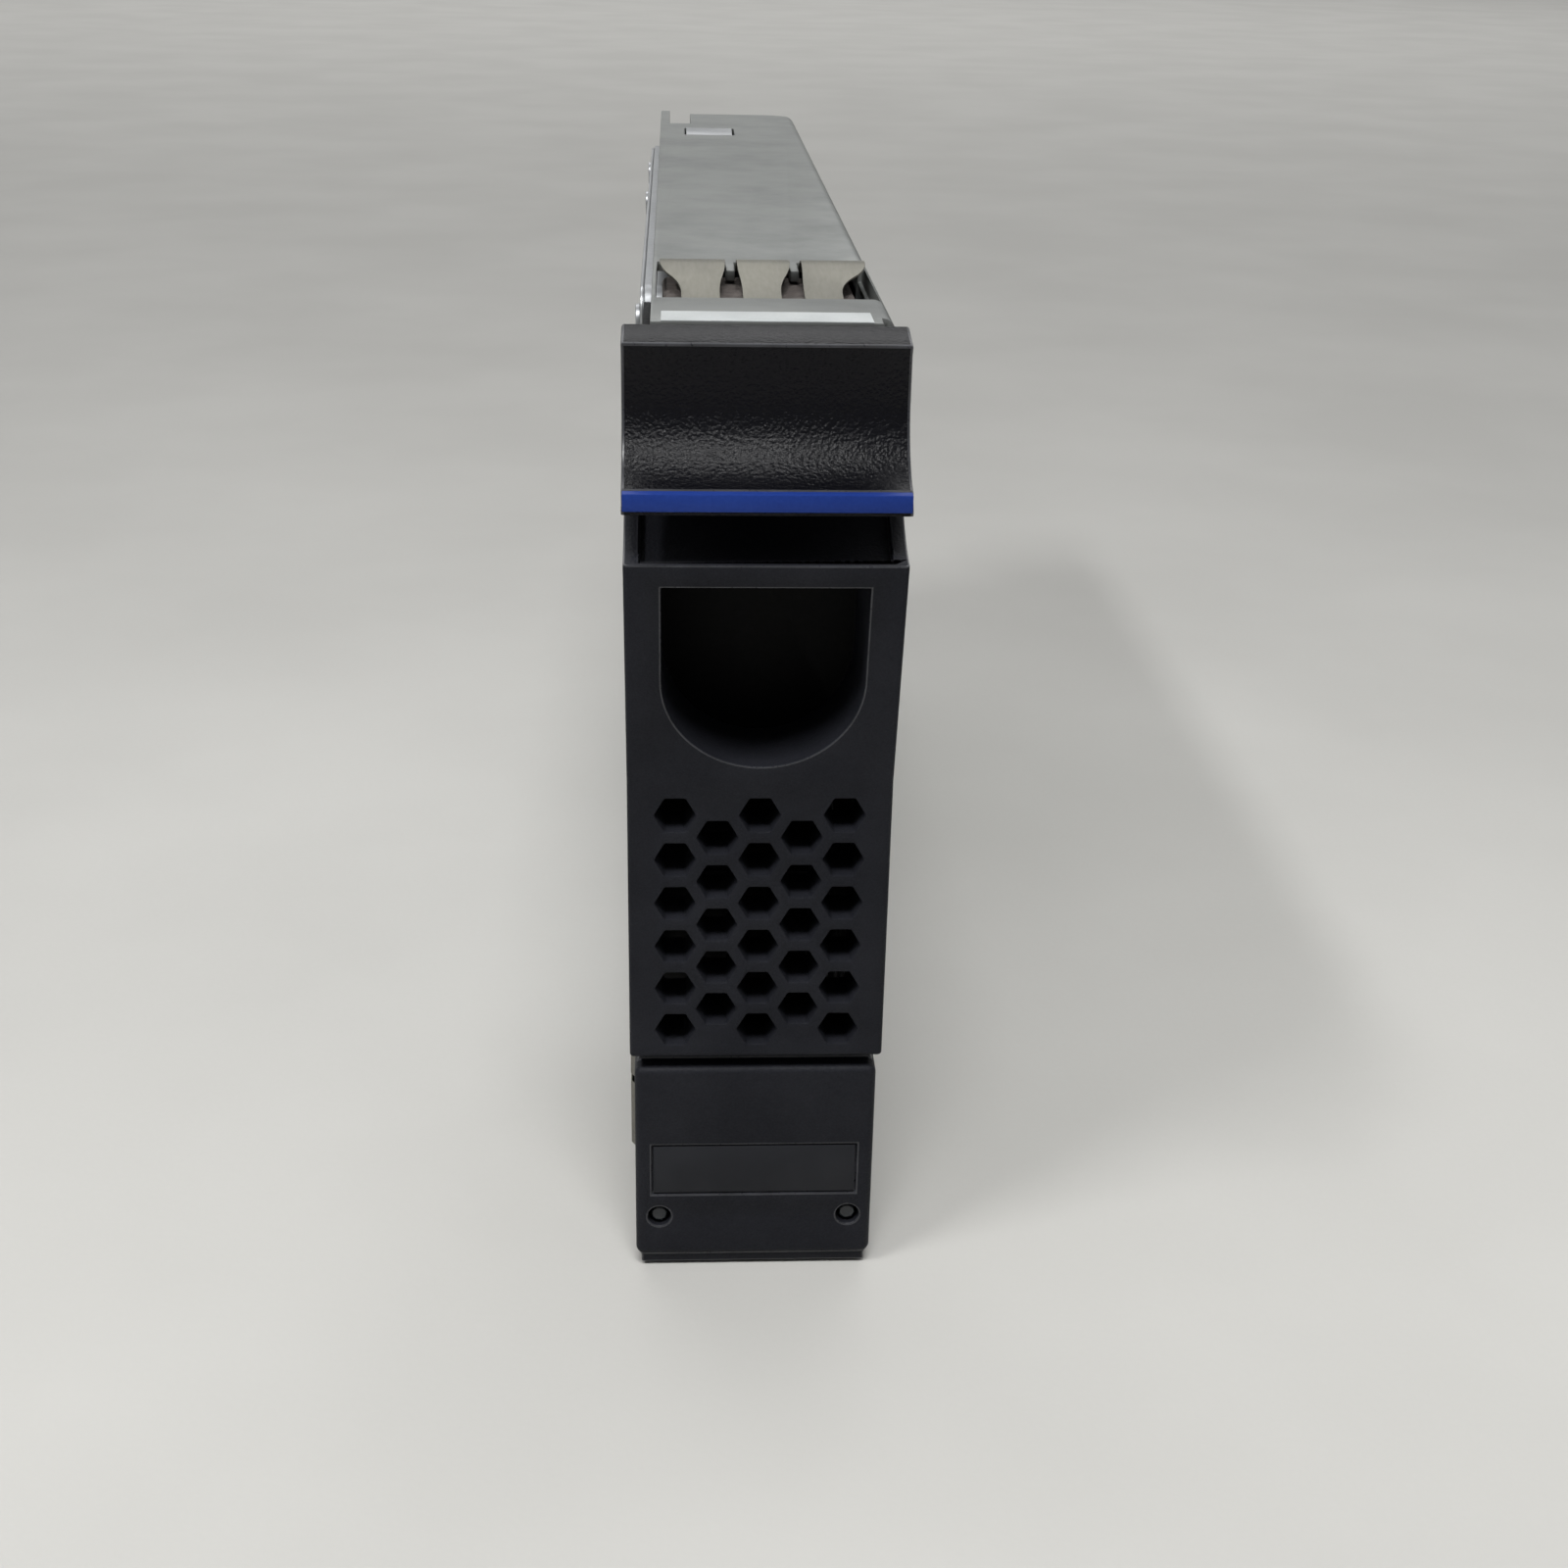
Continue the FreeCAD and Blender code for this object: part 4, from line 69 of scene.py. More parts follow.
def linear(code):
    """An sRGB hex colour as linear red, green and blue with alpha 1."""
    channels = [int(code[start:start + 2], 16) / 255 for start in (0, 2, 4)]
    return [c / 12.92 if c <= 0.04045 else ((c + 0.055) / 1.055) ** 2.4 for c in channels] + [1.0]


def add(tree, kind, settings, sockets):
    """Adds a node with its settings, and links each socket to an output or sets its value."""
    made = tree.nodes.new("ShaderNode" + kind)
    for key, value in settings.items():
        setattr(made, key, value)
    for key, value in sockets.items():
        if isinstance(value, bpy.types.NodeSocket):
            tree.links.new(value, made.inputs[key])
        else:
            made.inputs[key].default_value = value
    return made


def new_finish(name, stretch=(1.0, 1.0, 1.0)):
    """An empty material, its node tree, and the piece's own coordinates in metres."""
    made = bpy.data.materials.new(name)
    made.use_nodes = True
    tree = made.node_tree
    tree.nodes.clear()
    spot = add(tree, "TexCoord", {}, {}).outputs["Object"]
    place = add(tree, "Mapping", {}, {"Vector": spot, "Scale": stretch}).outputs[0]
    return made, tree, place


def plain_finish(name, dark, light, blotch, grain, depth, rough, stretch=(1.0, 1.0, 1.0), **more):
    """A colour that drifts between two shades over blotches, under a fine raised grain."""
    # Most real grains are too fine to show, so each is drawn as coarse as it needs, 0.2 mm or more.
    made, tree, place = new_finish(name, stretch)
    cloud = add(tree, "TexNoise", {}, {"Vector": place, "Scale": 1 / blotch, "Detail": 4.0})
    drift = add(tree, "MapRange", {}, {"Value": cloud.outputs[0], "From Min": 0.35, "From Max": 0.65})
    shade = add(tree, "Mix", {"data_type": "RGBA"},
                {0: drift.outputs[0], 6: linear(dark), 7: linear(light)})
    grit = add(tree, "TexNoise", {}, {"Vector": place, "Scale": 1 / grain, "Detail": 3.0})
    gloss = add(tree, "MapRange", {}, {"Value": grit.outputs[0], "From Min": 0.3, "From Max": 0.7,
                                       "To Min": rough[0], "To Max": rough[1]})
    relief = add(tree, "Bump", {}, {"Height": grit.outputs[0], "Distance": depth, "Strength": 1.0})
    sockets = {"Base Color": shade.outputs[2], "Roughness": gloss.outputs[0], "Normal": relief.outputs[0]}
    for key, value in more.items():
        sockets[key.replace("_", " ")] = value
    shader = add(tree, "BsdfPrincipled", {}, sockets)
    add(tree, "OutputMaterial", {}, {"Surface": shader.outputs[0]})
    return made


# Matt card: fibres make it slightly uneven, so no lamp shows in it as a bright spot.
table_card = plain_finish("matt card", "BFBEBA", "C5C4C0",
                          blotch=0.09, grain=0.0008, depth=0.00002, rough=(0.75, 0.9))
table_size = 16.0
table_gap = 0.0002
bpy.ops.mesh.primitive_plane_add(size=table_size, location=(0, 0, cad_box[0][2] - table_gap))
table = bpy.context.object
table.name = "table"
table.data.materials.append(table_card)

# The room lights evenly, and what looks straight at it or mirrors it sees a pale wall.
room_light = 0.13
room_seen = 0.42
world = bpy.data.worlds.new("even room light")
bpy.context.scene.world = world
world.use_nodes = True
room = world.node_tree
room.nodes.clear()
rays = add(room, "LightPath", {}, {})
seen = add(room, "Math", {"operation": "MAXIMUM"},
           {0: rays.outputs["Is Camera Ray"], 1: rays.outputs["Is Glossy Ray"]})
shown = add(room, "Math", {"operation": "MAXIMUM"},
            {0: seen.outputs[0], 1: rays.outputs["Is Transmission Ray"]})
level = add(room, "MapRange", {}, {"Value": shown.outputs[0], "To Min": room_light, "To Max": room_seen})
wall = add(room, "Background", {}, {"Color": linear("F3F4F4"), "Strength": level.outputs[0]})
add(room, "OutputWorld", {}, {"Surface": wall.outputs[0]})


def lamp(name, place, aim, sizes, watts, fan=180):
    """A rectangular soft box at a place, turned to face a point; fan is how wide its light opens."""
    data = bpy.data.lights.new(name, "AREA")
    data.shape = "RECTANGLE"
    data.size, data.size_y = sizes
    data.energy = watts
    data.spread = math.radians(fan)
    made = bpy.data.objects.new(name, data)
    facing = (Vector(aim) - Vector(place)).to_track_quat("-Z", "Y")
    made.matrix_world = Matrix.Translation(place) @ facing.to_matrix().to_4x4()
    bpy.context.collection.objects.link(made)


lamp("overhead box", place=(0.0, -0.44, 0.8), aim=(0.0, -0.2, 0.0), sizes=(0.3, 0.2), watts=1.1, fan=84)
lamp("pale ceiling", place=(0.0, 0.8, 4.0), aim=(0.0, 0.8, 0.0), sizes=(12.0, 12.0), watts=45.0)
lamp("back box", place=(0.0, 2.6, 2.5), aim=(0.0, 2.6, 0.0), sizes=(4.0, 3.0), watts=68.0)
lamp("left tube", place=(-0.68, -0.55, 1.05), aim=(0.0, -0.55, 0.0), sizes=(0.4, 0.08), watts=6.4)

# The camera stands in front of the drive, a little above its top and to its left. Its place, its
# turns and its focal length, in pixels of the photograph, were fitted to the drive's straight edges.
eye = Vector((-0.008990, -0.306353, 0.14904))
pitch = math.radians(23.483)
yaw = math.radians(3.279)
roll = math.radians(-1.217)
focal_pixels = 2106.63
photo_pixels = 1600
forward = Vector((math.sin(yaw) * math.cos(pitch), math.cos(yaw) * math.cos(pitch), -math.sin(pitch)))
across = Vector((math.cos(yaw), -math.sin(yaw), 0.0))
plumb = forward.cross(across)
right = math.cos(roll) * across + math.sin(roll) * plumb
down = math.cos(roll) * plumb - math.sin(roll) * across
lens = bpy.data.cameras.new("camera")
lens.sensor_width = 36.0
lens.lens = lens.sensor_width * focal_pixels / photo_pixels
camera = bpy.data.objects.new("camera", lens)
turn = Matrix((right, -down, -forward)).transposed().to_4x4()
camera.matrix_world = Matrix.Translation(eye) @ turn
bpy.context.collection.objects.link(camera)
bpy.context.scene.camera = camera
bpy.context.scene.view_settings.view_transform = "Standard"

# Carrier tray and screen plate
# The carrier is one piece of zinc-coated sheet steel, punched and folded into a channel, with a
# second folded plate riveted behind the front to keep stray signals in.


def dress(material, *nodes):
    """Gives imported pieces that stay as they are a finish."""
    for node in nodes:
        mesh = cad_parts[node].data
        mesh.materials.clear()
        mesh.materials.append(material)


def chosen(piece):
    """Makes a piece the only one that is selected and the active one."""
    bpy.ops.object.select_all(action="DESELECT")
    bpy.context.view_layer.objects.active = piece
    piece.select_set(True)


def merged_copy(node, name):
    """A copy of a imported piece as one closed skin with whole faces, alone in the selection."""
    piece = bpy.data.objects.new(name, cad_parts[node].data.copy())
    piece.data.materials.clear()
    bpy.context.collection.objects.link(piece)
    chosen(piece)
    bpy.ops.object.mode_set(mode="EDIT")
    bpy.ops.mesh.select_all(action="SELECT")
    bpy.ops.mesh.customdata_custom_splitnormals_clear()
    bpy.ops.mesh.remove_doubles(threshold=0.000002)
    bpy.ops.mesh.dissolve_limited(angle_limit=math.radians(0.5))
    bpy.ops.object.mode_set(mode="OBJECT")
    return piece


def break_edges(piece, edge, steps=2, rubbed=None):
    """Rounds the sharp edges of a piece by a small radius, and may give them a rubbed finish with a painted
    highlight.
    """
    bevel = piece.modifiers.new("broken edges", "BEVEL")
    if rubbed:
        piece.data.materials.append(None)
        piece.data.materials.append(rubbed)
        bevel.material = 1
    bevel.width = edge
    bevel.segments = steps
    bevel.limit_method = "ANGLE"
    bevel.angle_limit = math.radians(30)
    bevel.use_clamp_overlap = False
    bevel.loop_slide = False
    chosen(piece)
    bpy.ops.object.modifier_apply(modifier=bevel.name)


def finished(piece, material, body, slot, *nodes):
    """Smooths a piece between its edges, gives it its finish, hangs it on its body and hides the imported
    pieces it stands for.
    """
    chosen(piece)
    bpy.ops.object.shade_smooth_by_angle(angle=math.radians(32))
    if not piece.data.materials:
        piece.data.materials.append(material)
    piece.data.materials[0] = material
    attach(piece, body)
    if nodes:
        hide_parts(*nodes)


def eased(node, name, material, body, slot, edge, steps=2, rubbed=None):
    """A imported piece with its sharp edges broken, as a mould or a press leaves them."""
    piece = merged_copy(node, name)
    break_edges(piece, edge, steps, rubbed)
    finished(piece, material, body, slot, node)
    return piece


def zinc_finish(name, dull, bright, flake, smudge, mark):
    """Zinc on steel: faint flakes, darker smudges, and fine rolling marks along the sheet."""
    flake_share = 0.22
    mark_stretch = (1.0, 0.06, 1.0)
    made, tree, place = new_finish(name)
    flakes = add(tree, "TexVoronoi", {"feature": "F1"}, {"Vector": place, "Scale": 1 / flake})
    clouds = add(tree, "TexNoise", {},
                 {"Vector": place, "Scale": 1 / smudge, "Detail": 6.0, "Roughness": 0.6})
    stain = add(tree, "MapRange", {}, {"Value": clouds.outputs[0], "From Min": 0.3, "From Max": 0.62})
    mottle = add(tree, "Math", {"operation": "MULTIPLY_ADD", "use_clamp": True},
                 {0: flakes.outputs["Color"], 1: flake_share, 2: stain.outputs[0]})
    shade = add(tree, "Mix", {"data_type": "RGBA"},
                {0: mottle.outputs[0], 6: linear(dull), 7: linear(bright)})
    along = add(tree, "Mapping", {}, {"Vector": place, "Scale": mark_stretch}).outputs[0]
    rolling = add(tree, "TexNoise", {}, {"Vector": along, "Scale": 1 / mark, "Detail": 3.0})
    gloss = add(tree, "MapRange", {}, {"Value": clouds.outputs[0], "From Min": 0.3, "From Max": 0.7,
                                       "To Min": 0.56, "To Max": 0.44})
    relief = add(tree, "Bump", {}, {"Height": rolling.outputs[0], "Distance": 0.000004, "Strength": 0.6})
    shader = add(tree, "BsdfPrincipled", {}, {"Base Color": shade.outputs[2], "Metallic": 1.0,
                                              "Roughness": gloss.outputs[0], "Normal": relief.outputs[0]})
    add(tree, "OutputMaterial", {}, {"Surface": shader.outputs[0]})
    return made


# Galvanised sheet: a dull grey that mirrors only broad light and dark, with cloudy patches.
galvanised = zinc_finish("galvanised steel", "717372", "818381", flake=0.006, smudge=0.014, mark=0.0006)
channel = eased("carrier_tray", "carrier_channel", galvanised, "carrier", "galvanised_steel", edge=0.00012)
# Black coat on sheet steel, with a faint even sheen. Its black is partly painted shade, to keep the
# holes of the front dark.
black_steel = plain_finish("black coated steel", "030304", "050506", blotch=0.006, grain=0.0003,
                           depth=0.00001, rough=(0.5, 0.62), Specular_IOR_Level=0.1)
eased("screen_plate", "screen_sheet", black_steel, "carrier", "black_steel", edge=0.0001)
# Bright zinc on turned steel: small heads that catch the light.
bright_zinc = plain_finish("bright zinc plated steel", "929496", "B8BABC", blotch=0.004, grain=0.0004,
                           depth=0.000004, rough=(0.32, 0.44), Metallic=1.0)
eased("screen_rivets", "rivet_heads", bright_zinc, "carrier", "galvanised_steel", edge=0.0005, steps=4)
# The tongue lanced in the roof near its back end is bent down towards the front, so it looks up
# and leans forward. Those faces get a lighter zinc, a painted highlight.
highlit_zinc = plain_finish("zinc on steel with painted highlight", "989A9C", "AEB0B2", blotch=0.003, grain=0.0006,
                           depth=0.000004, rough=(0.34, 0.44), stretch=(0.2, 1.0, 1.0), Metallic=1.0)
tongue_from = 0.07
channel.data.materials.append(highlit_zinc)
for face in channel.data.polygons:
    looks_up = face.normal.z > 0.9
    leans_forward = face.normal.y < -0.1
    if looks_up and leans_forward and face.center.y > tongue_from:
        face.material_index = 1

# Sprung contacts and roof label
# Thin spring steel fingers are clinched in the roof window over a foam pad and along the sides,
# to touch the shelf. A paper label is stuck to the roof between the window and the handle.

# Nickel on rolled spring steel: a warm, satin grey with faint marks along the strip.
spring_steel = plain_finish("nickel plated spring steel", "706E65", "7A786E", blotch=0.006, grain=0.0004,
                            depth=0.000002, rough=(0.36, 0.46), stretch=(1.0, 0.12, 1.0), Metallic=1.0)
finger_edge = 0.00004
eased("roof_contacts", "roof_fingers", spring_steel, "carrier", "spring_steel", edge=finger_edge)
eased("left_contacts", "left_strip", spring_steel, "carrier", "spring_steel", edge=finger_edge)
eased("right_contacts", "right_strip", spring_steel, "carrier", "spring_steel", edge=finger_edge)
# Coated paper: clean white with a slight sheen.
label_paper = plain_finish("coated label paper", "ABAFAF", "B5B9B9", blotch=0.005, grain=0.0003,
                           depth=0.000004, rough=(0.42, 0.55))
dress(label_paper, "roof_label")


def small_block(name, sizes, edge):
    """A moulded, cut or fired block that stands on the origin, with its edges broken."""
    bpy.ops.object.select_all(action="DESELECT")
    bpy.ops.mesh.primitive_cube_add(size=1.0)
    block = bpy.context.object
    block.name = name
    bpy.ops.object.mode_set(mode="EDIT")
    bpy.ops.transform.resize(value=sizes)
    bpy.ops.transform.translate(value=(0.0, 0.0, sizes[2] / 2))
    bpy.ops.mesh.bevel(offset=edge, segments=2)
    bpy.ops.object.mode_set(mode="OBJECT")
    return block


def middle_of(node):
    """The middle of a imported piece's box."""
    low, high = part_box(node)
    return (Vector(low) + Vector(high)) / 2


# Open foam loaded with carbon: dull, with cells that hold the light.
pad_foam = plain_finish("open cell foam", "4E4845", "645D59", blotch=0.002, grain=0.0007, depth=0.0002,
                        rough=(0.85, 0.95))
pad_shift = 0.0005
pad_bottom = 0.1043
pad_middle = middle_of("screen_plate")
pad_place = Vector((pad_middle.x + pad_shift, pad_middle.y + pad_shift, pad_bottom))
pad = small_block("foam_pad", sizes=(0.0216, 0.03, 0.003), edge=0.0006)
pad.data.transform(Matrix.Translation(pad_place))
finished(pad, pad_foam, "carrier", "gasket_rubber")

# Drive body
# A die cast aluminium tub takes the discs, and a pressed aluminium lid is screwed on over a
# rubber seal. Screws through the carrier's web hold the tub.

# Cast aluminium: a grey skin with a slightly pitted grain.
cast_aluminium = plain_finish("die cast aluminium", "96989A", "A0A2A4", blotch=0.012, grain=0.0007,
                              depth=0.00003, rough=(0.42, 0.55), Metallic=1.0)
eased("drive_base", "drive_tub", cast_aluminium, "carrier", "cast_aluminium", edge=0.00025)
# A black sheet over the tub's front end is painted shade: nothing pale shows through the holes of
# the front.
shade_film = plain_finish("black sheet painted as shade", "050506", "08080A", blotch=0.004, grain=0.0004,
                        depth=0.000004, rough=(0.45, 0.55), Specular_IOR_Level=0.15)
tub_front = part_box("drive_base")[0][1]
tub_middle = middle_of("drive_base")
film = small_block("front_shade_sheet", sizes=(0.0236, 0.0945, 0.00015), edge=0.00005)
film_place = Matrix.Translation((tub_middle.x, tub_front, tub_middle.z))
film.data.transform(film_place @ Matrix.Rotation(math.pi / 2, 4, "X"))
finished(film, shade_film, "carrier", "gasket_rubber")


def carve(piece, tool):
    """Cuts the shape of a tool out of a piece, and throws the tool away."""
    bite = piece.modifiers.new("cut", "BOOLEAN")
    bite.object = tool
    bite.solver = "EXACT"
    chosen(piece)
    bpy.ops.object.modifier_apply(modifier=bite.name)
    bpy.data.objects.remove(tool)


def press_ring(piece, place, radius, bead, depth):
    """Presses a round groove into the left face of a sheet, around a place on it."""
    bpy.ops.object.select_all(action="DESELECT")
    bpy.ops.mesh.primitive_torus_add(major_radius=radius, minor_radius=bead, major_segments=120,
                                     minor_segments=16, location=place - Vector((bead - depth, 0.0, 0.0)),
                                     rotation=(0.0, math.pi / 2, 0.0))
    carve(piece, bpy.context.object)


# Pressed aluminium: bright and satin, with long streaks from the rolling.
pressed_aluminium = plain_finish("pressed aluminium sheet", "A9ABAD", "BFC1C3", blotch=0.03, grain=0.0005,
                                 depth=0.000005, rough=(0.3, 0.42), stretch=(1.0, 0.05, 1.0), Metallic=1.0)
lid = merged_copy("drive_cover", "drive_lid")
break_edges(lid, edge=0.00025)
lid_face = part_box("drive_cover")[0][0]
spindle_spot = Vector((lid_face, middle_of("discs").y, middle_of("discs").z))
pivot_spot = Vector((lid_face, middle_of("arm_pivot").y, middle_of("arm_pivot").z))
press_ring(lid, spindle_spot, radius=0.0415, bead=0.0011, depth=0.00032)
press_ring(lid, spindle_spot, radius=0.0125, bead=0.0009, depth=0.00028)
press_ring(lid, pivot_spot, radius=0.0085, bead=0.0009, depth=0.00028)
finished(lid, pressed_aluminium, "carrier", "sheet_aluminium", "drive_cover")
# Moulded rubber: black and dull.
seal_rubber = plain_finish("moulded rubber", "17181A", "222326", blotch=0.006, grain=0.0005,
                           depth=0.00001, rough=(0.7, 0.85))
dress(seal_rubber, "cover_gasket")


def lumps(node):
    """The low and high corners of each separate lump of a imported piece."""
    merged_copy(node, "lump")
    bpy.ops.object.mode_set(mode="EDIT")
    bpy.ops.mesh.select_all(action="SELECT")
    bpy.ops.mesh.separate(type="LOOSE")
    bpy.ops.object.mode_set(mode="OBJECT")
    corners = []
    for lump in list(bpy.context.selected_objects):
        points = [point.co.copy() for point in lump.data.vertices]
        low = Vector([min(point[axis] for point in points) for axis in range(3)])
        high = Vector([max(point[axis] for point in points) for axis in range(3)])
        corners.append((low, high))
        bpy.data.objects.remove(lump)
    return corners


def repeated(model, name, moves):
    """Copies of one modelled piece, each set in its place, joined; the model goes."""
    copies = []
    for move in moves:
        copy = bpy.data.objects.new(name, model.data.copy())
        copy.data.transform(move)
        bpy.context.collection.objects.link(copy)
        copies.append(copy)
    bpy.data.objects.remove(model)
    chosen(copies[0])
    for copy in copies:
        copy.select_set(True)
    bpy.ops.object.join()
    return copies[0]


def turned_to(out):
    """The turn that points a piece's own up along a direction."""
    return out.to_track_quat("Z", "Y").to_matrix().to_4x4()


def driver_bit(across, deep):
    """A six-pointed bit with its tip at a depth below the origin, to sink sockets with."""
    proud = across / 4
    waist = 0.68
    rounding = across * 0.06
    bpy.ops.object.select_all(action="DESELECT")
    bpy.ops.mesh.primitive_circle_add(vertices=12, radius=across / 2, fill_type="NGON")
    bit = bpy.context.object
    for point in bit.data.vertices:
        point.select = point.index % 2 == 0
    bpy.ops.object.mode_set(mode="EDIT")
    bpy.ops.mesh.select_mode(type="VERT")
    bpy.ops.transform.resize(value=(waist, waist, 1.0))
    bpy.ops.mesh.select_all(action="SELECT")
    bpy.ops.mesh.bevel(offset=rounding, affect="VERTICES", segments=2)
    bpy.ops.mesh.select_all(action="SELECT")
    bpy.ops.transform.translate(value=(0.0, 0.0, -deep))
    bpy.ops.mesh.extrude_region_move(TRANSFORM_OT_translate={"value": (0.0, 0.0, deep + proud)})
    bpy.ops.mesh.select_all(action="SELECT")
    bpy.ops.mesh.normals_make_consistent(inside=False)
    bpy.ops.object.mode_set(mode="OBJECT")
    return bit


def socket_screws(node, name, out, across, deep, edge):
    """Packed screws with rounded heads and a six-pointed socket in each; out is where they face."""
    spots = []
    for low, high in lumps(node):
        reach = (high - low) / 2
        spots.append((low + high) / 2 + Vector([out[axis] * reach[axis] for axis in range(3)]))
    piece = merged_copy(node, name)
    break_edges(piece, edge, steps=3)
    moves = [Matrix.Translation(spot) @ turned_to(out) for spot in spots]
    carve(piece, repeated(driver_bit(across, deep), "bits", moves))
    finished(piece, bright_zinc, "carrier", "screw_steel", node)


to_left = Vector((-1.0, 0.0, 0.0))
to_right = Vector((1.0, 0.0, 0.0))
socket_screws("cover_screws", "lid_screws", to_left, across=0.0019, deep=0.0004, edge=0.00012)
socket_screws("drive_screws", "holding_screws", to_right, across=0.003, deep=0.0009, edge=0.00008)


def foil_disc(radius, thick):
    """A round patch of foil, facing up at the origin, with its rim pressed down."""
    rim_width = radius * 0.06
    rim_height = thick * 0.4
    bpy.ops.object.select_all(action="DESELECT")
    bpy.ops.mesh.primitive_circle_add(vertices=48, radius=radius, fill_type="NGON")
    patch = bpy.context.object
    bpy.ops.object.mode_set(mode="EDIT")
    bpy.ops.mesh.extrude_region_move(TRANSFORM_OT_translate={"value": (0.0, 0.0, rim_height)})
    bpy.ops.mesh.inset(thickness=rim_width, depth=thick - rim_height)
    bpy.ops.mesh.select_all(action="SELECT")
    bpy.ops.mesh.normals_make_consistent(inside=False)
    bpy.ops.object.mode_set(mode="OBJECT")
    return patch


# Dead soft foil: it takes every dent of the thumb that pressed it on, so it glitters unevenly.
seal_foil = plain_finish("aluminium foil", "C2C3C4", "D4D5D6", blotch=0.003, grain=0.0009, depth=0.00006,
                         rough=(0.2, 0.3), Metallic=1.0)
upper_foil = Vector((lid_face, 0.066, 0.083))
lower_foil = Vector((lid_face, -0.0452, 0.0185))
foil_moves = [Matrix.Translation(spot) @ turned_to(to_left) for spot in (upper_foil, lower_foil)]
foils = repeated(foil_disc(radius=0.0055, thick=0.0001), "foil_seals", foil_moves)
finished(foils, seal_foil, "carrier", "sheet_aluminium")

# Discs and head stack
# Four plated discs turn on a hub over the motor, and five arms carry the heads across them from
# a pivot. A flat coil between two magnets swings the arms.

# Turned aluminium: clean and bright, with a soft gleam.
turned_aluminium = plain_finish("turned aluminium", "B4B6B8", "C8CACC", blotch=0.01, grain=0.0004,
                                depth=0.000003, rough=(0.22, 0.32), Metallic=1.0)
dress(turned_aluminium, "spindle_hub", "disc_spacers", "disc_clamp", "head_arm")
# Sputtered plating on a polished disc: a mirror.
disc_plating = plain_finish("sputtered disc plating", "C3C1BE", "CBC9C6", blotch=0.05, grain=0.002,
                            depth=0.0000002, rough=(0.03, 0.05), Metallic=1.0)
dress(disc_plating, "discs")
dress(bright_zinc, "clamp_screws")
# Ground steel: darker than the aluminium, and smooth enough to gleam.
bearing_steel = plain_finish("ground bearing steel", "9EA0A3", "B4B6B9", blotch=0.006, grain=0.0005,
                             depth=0.000003, rough=(0.2, 0.3), Metallic=1.0)
dress(bearing_steel, "spindle_motor", "arm_pivot", "head_blades")
# Nickel on iron: a warm, pale metal with a satin gleam.
nickel_plating = plain_finish("nickel plated iron", "A8A69E", "BDBBB2", blotch=0.008, grain=0.0006,
                              depth=0.000005, rough=(0.25, 0.38), Metallic=1.0)
dress(nickel_plating, "lower_yoke", "upper_yoke", "magnets")
# Enamelled wire wound tight: orange-brown metal with a ribbed gleam.
copper_wire = plain_finish("enamelled copper wire", "9A4E22", "C06A32", blotch=0.004, grain=0.0003,
                           depth=0.00003, rough=(0.25, 0.4), Metallic=1.0)
dress(copper_wire, "voice_coil", "motor_stator")
# Acetal: a waxy off-white.
ramp_plastic = plain_finish("unfilled acetal", "D9D6C8", "E6E3D6", blotch=0.004, grain=0.0004,
                            depth=0.000004, rough=(0.4, 0.5))
dress(ramp_plastic, "parking_ramp")
# Felt: white and fibrous, with no gleam.
filter_felt = plain_finish("filter felt", "D5D5D0", "ECECE8", blotch=0.0015, grain=0.0004, depth=0.00012,
                           rough=(0.85, 0.95))
dress(filter_felt, "air_filter")

# Circuit board, bridge card and connectors
# A glass fibre board screwed to the tub's right side runs the drive. Its plug meets a socket on
# the upright card at the back, which carries the shelf's connector and the two lamps.


def board_finish(name, lay):
    """Green solder mask over copper: runs of fine tracks that change direction, and tinned holes."""
    # Real tracks lie closer than half a millimetre; these are drawn as coarse as they need to show.
    field = 0.011
    track_pitch = 0.0011
    hole_pitch = 0.0034
    hole_share = 0.1
    wave_length = 0.314  # what a wave texture of scale 1 repeats after
    made, tree, spot = new_finish(name)
    place = add(tree, "Mapping", {}, {"Vector": spot, "Rotation": Matrix(lay).to_euler()}).outputs[0]
    fields = add(tree, "TexVoronoi", {"distance": "CHEBYCHEV"}, {"Vector": place, "Scale": 1 / field})
    wave = {"Vector": place, "Scale": wave_length / track_pitch}
    lengthwise = add(tree, "TexWave", {"bands_direction": "X"}, wave)
    crosswise = add(tree, "TexWave", {"bands_direction": "Y"}, wave)
    side = add(tree, "Math", {"operation": "GREATER_THAN"}, {0: fields.outputs["Color"], 1: 0.5})
    runs = add(tree, "Mix", {"data_type": "FLOAT"},
               {0: side.outputs[0], 2: lengthwise.outputs["Fac"], 3: crosswise.outputs["Fac"]})
    track = add(tree, "MapRange", {}, {"Value": runs.outputs[0], "From Min": 0.45, "From Max": 0.6})
    mask = add(tree, "Mix", {"data_type": "RGBA"},
               {0: track.outputs[0], 6: linear("0A3422"), 7: linear("135038")})
    holes = add(tree, "TexVoronoi", {"feature": "F1"}, {"Vector": place, "Scale": 1 / hole_pitch})
    tin = add(tree, "Math", {"operation": "LESS_THAN"}, {0: holes.outputs["Distance"], 1: hole_share})
    shade = add(tree, "Mix", {"data_type": "RGBA"},
                {0: tin.outputs[0], 6: mask.outputs[2], 7: linear("B9B49A")})
    relief = add(tree, "Bump", {}, {"Height": track.outputs[0], "Distance": 0.00003, "Strength": 0.6})
    shader = add(tree, "BsdfPrincipled", {}, {"Base Color": shade.outputs[2], "Roughness": 0.32,
                                              "Normal": relief.outputs[0]})
    add(tree, "OutputMaterial", {}, {"Surface": shader.outputs[0]})
    return made


facing_right = ((0.0, 1.0, 0.0), (0.0, 0.0, 1.0), (1.0, 0.0, 0.0))
facing_back = ((1.0, 0.0, 0.0), (0.0, 0.0, 1.0), (0.0, -1.0, 0.0))
dress(board_finish("solder masked drive board", facing_right), "drive_board")
dress(board_finish("solder masked bridge card", facing_back), "bridge_card")
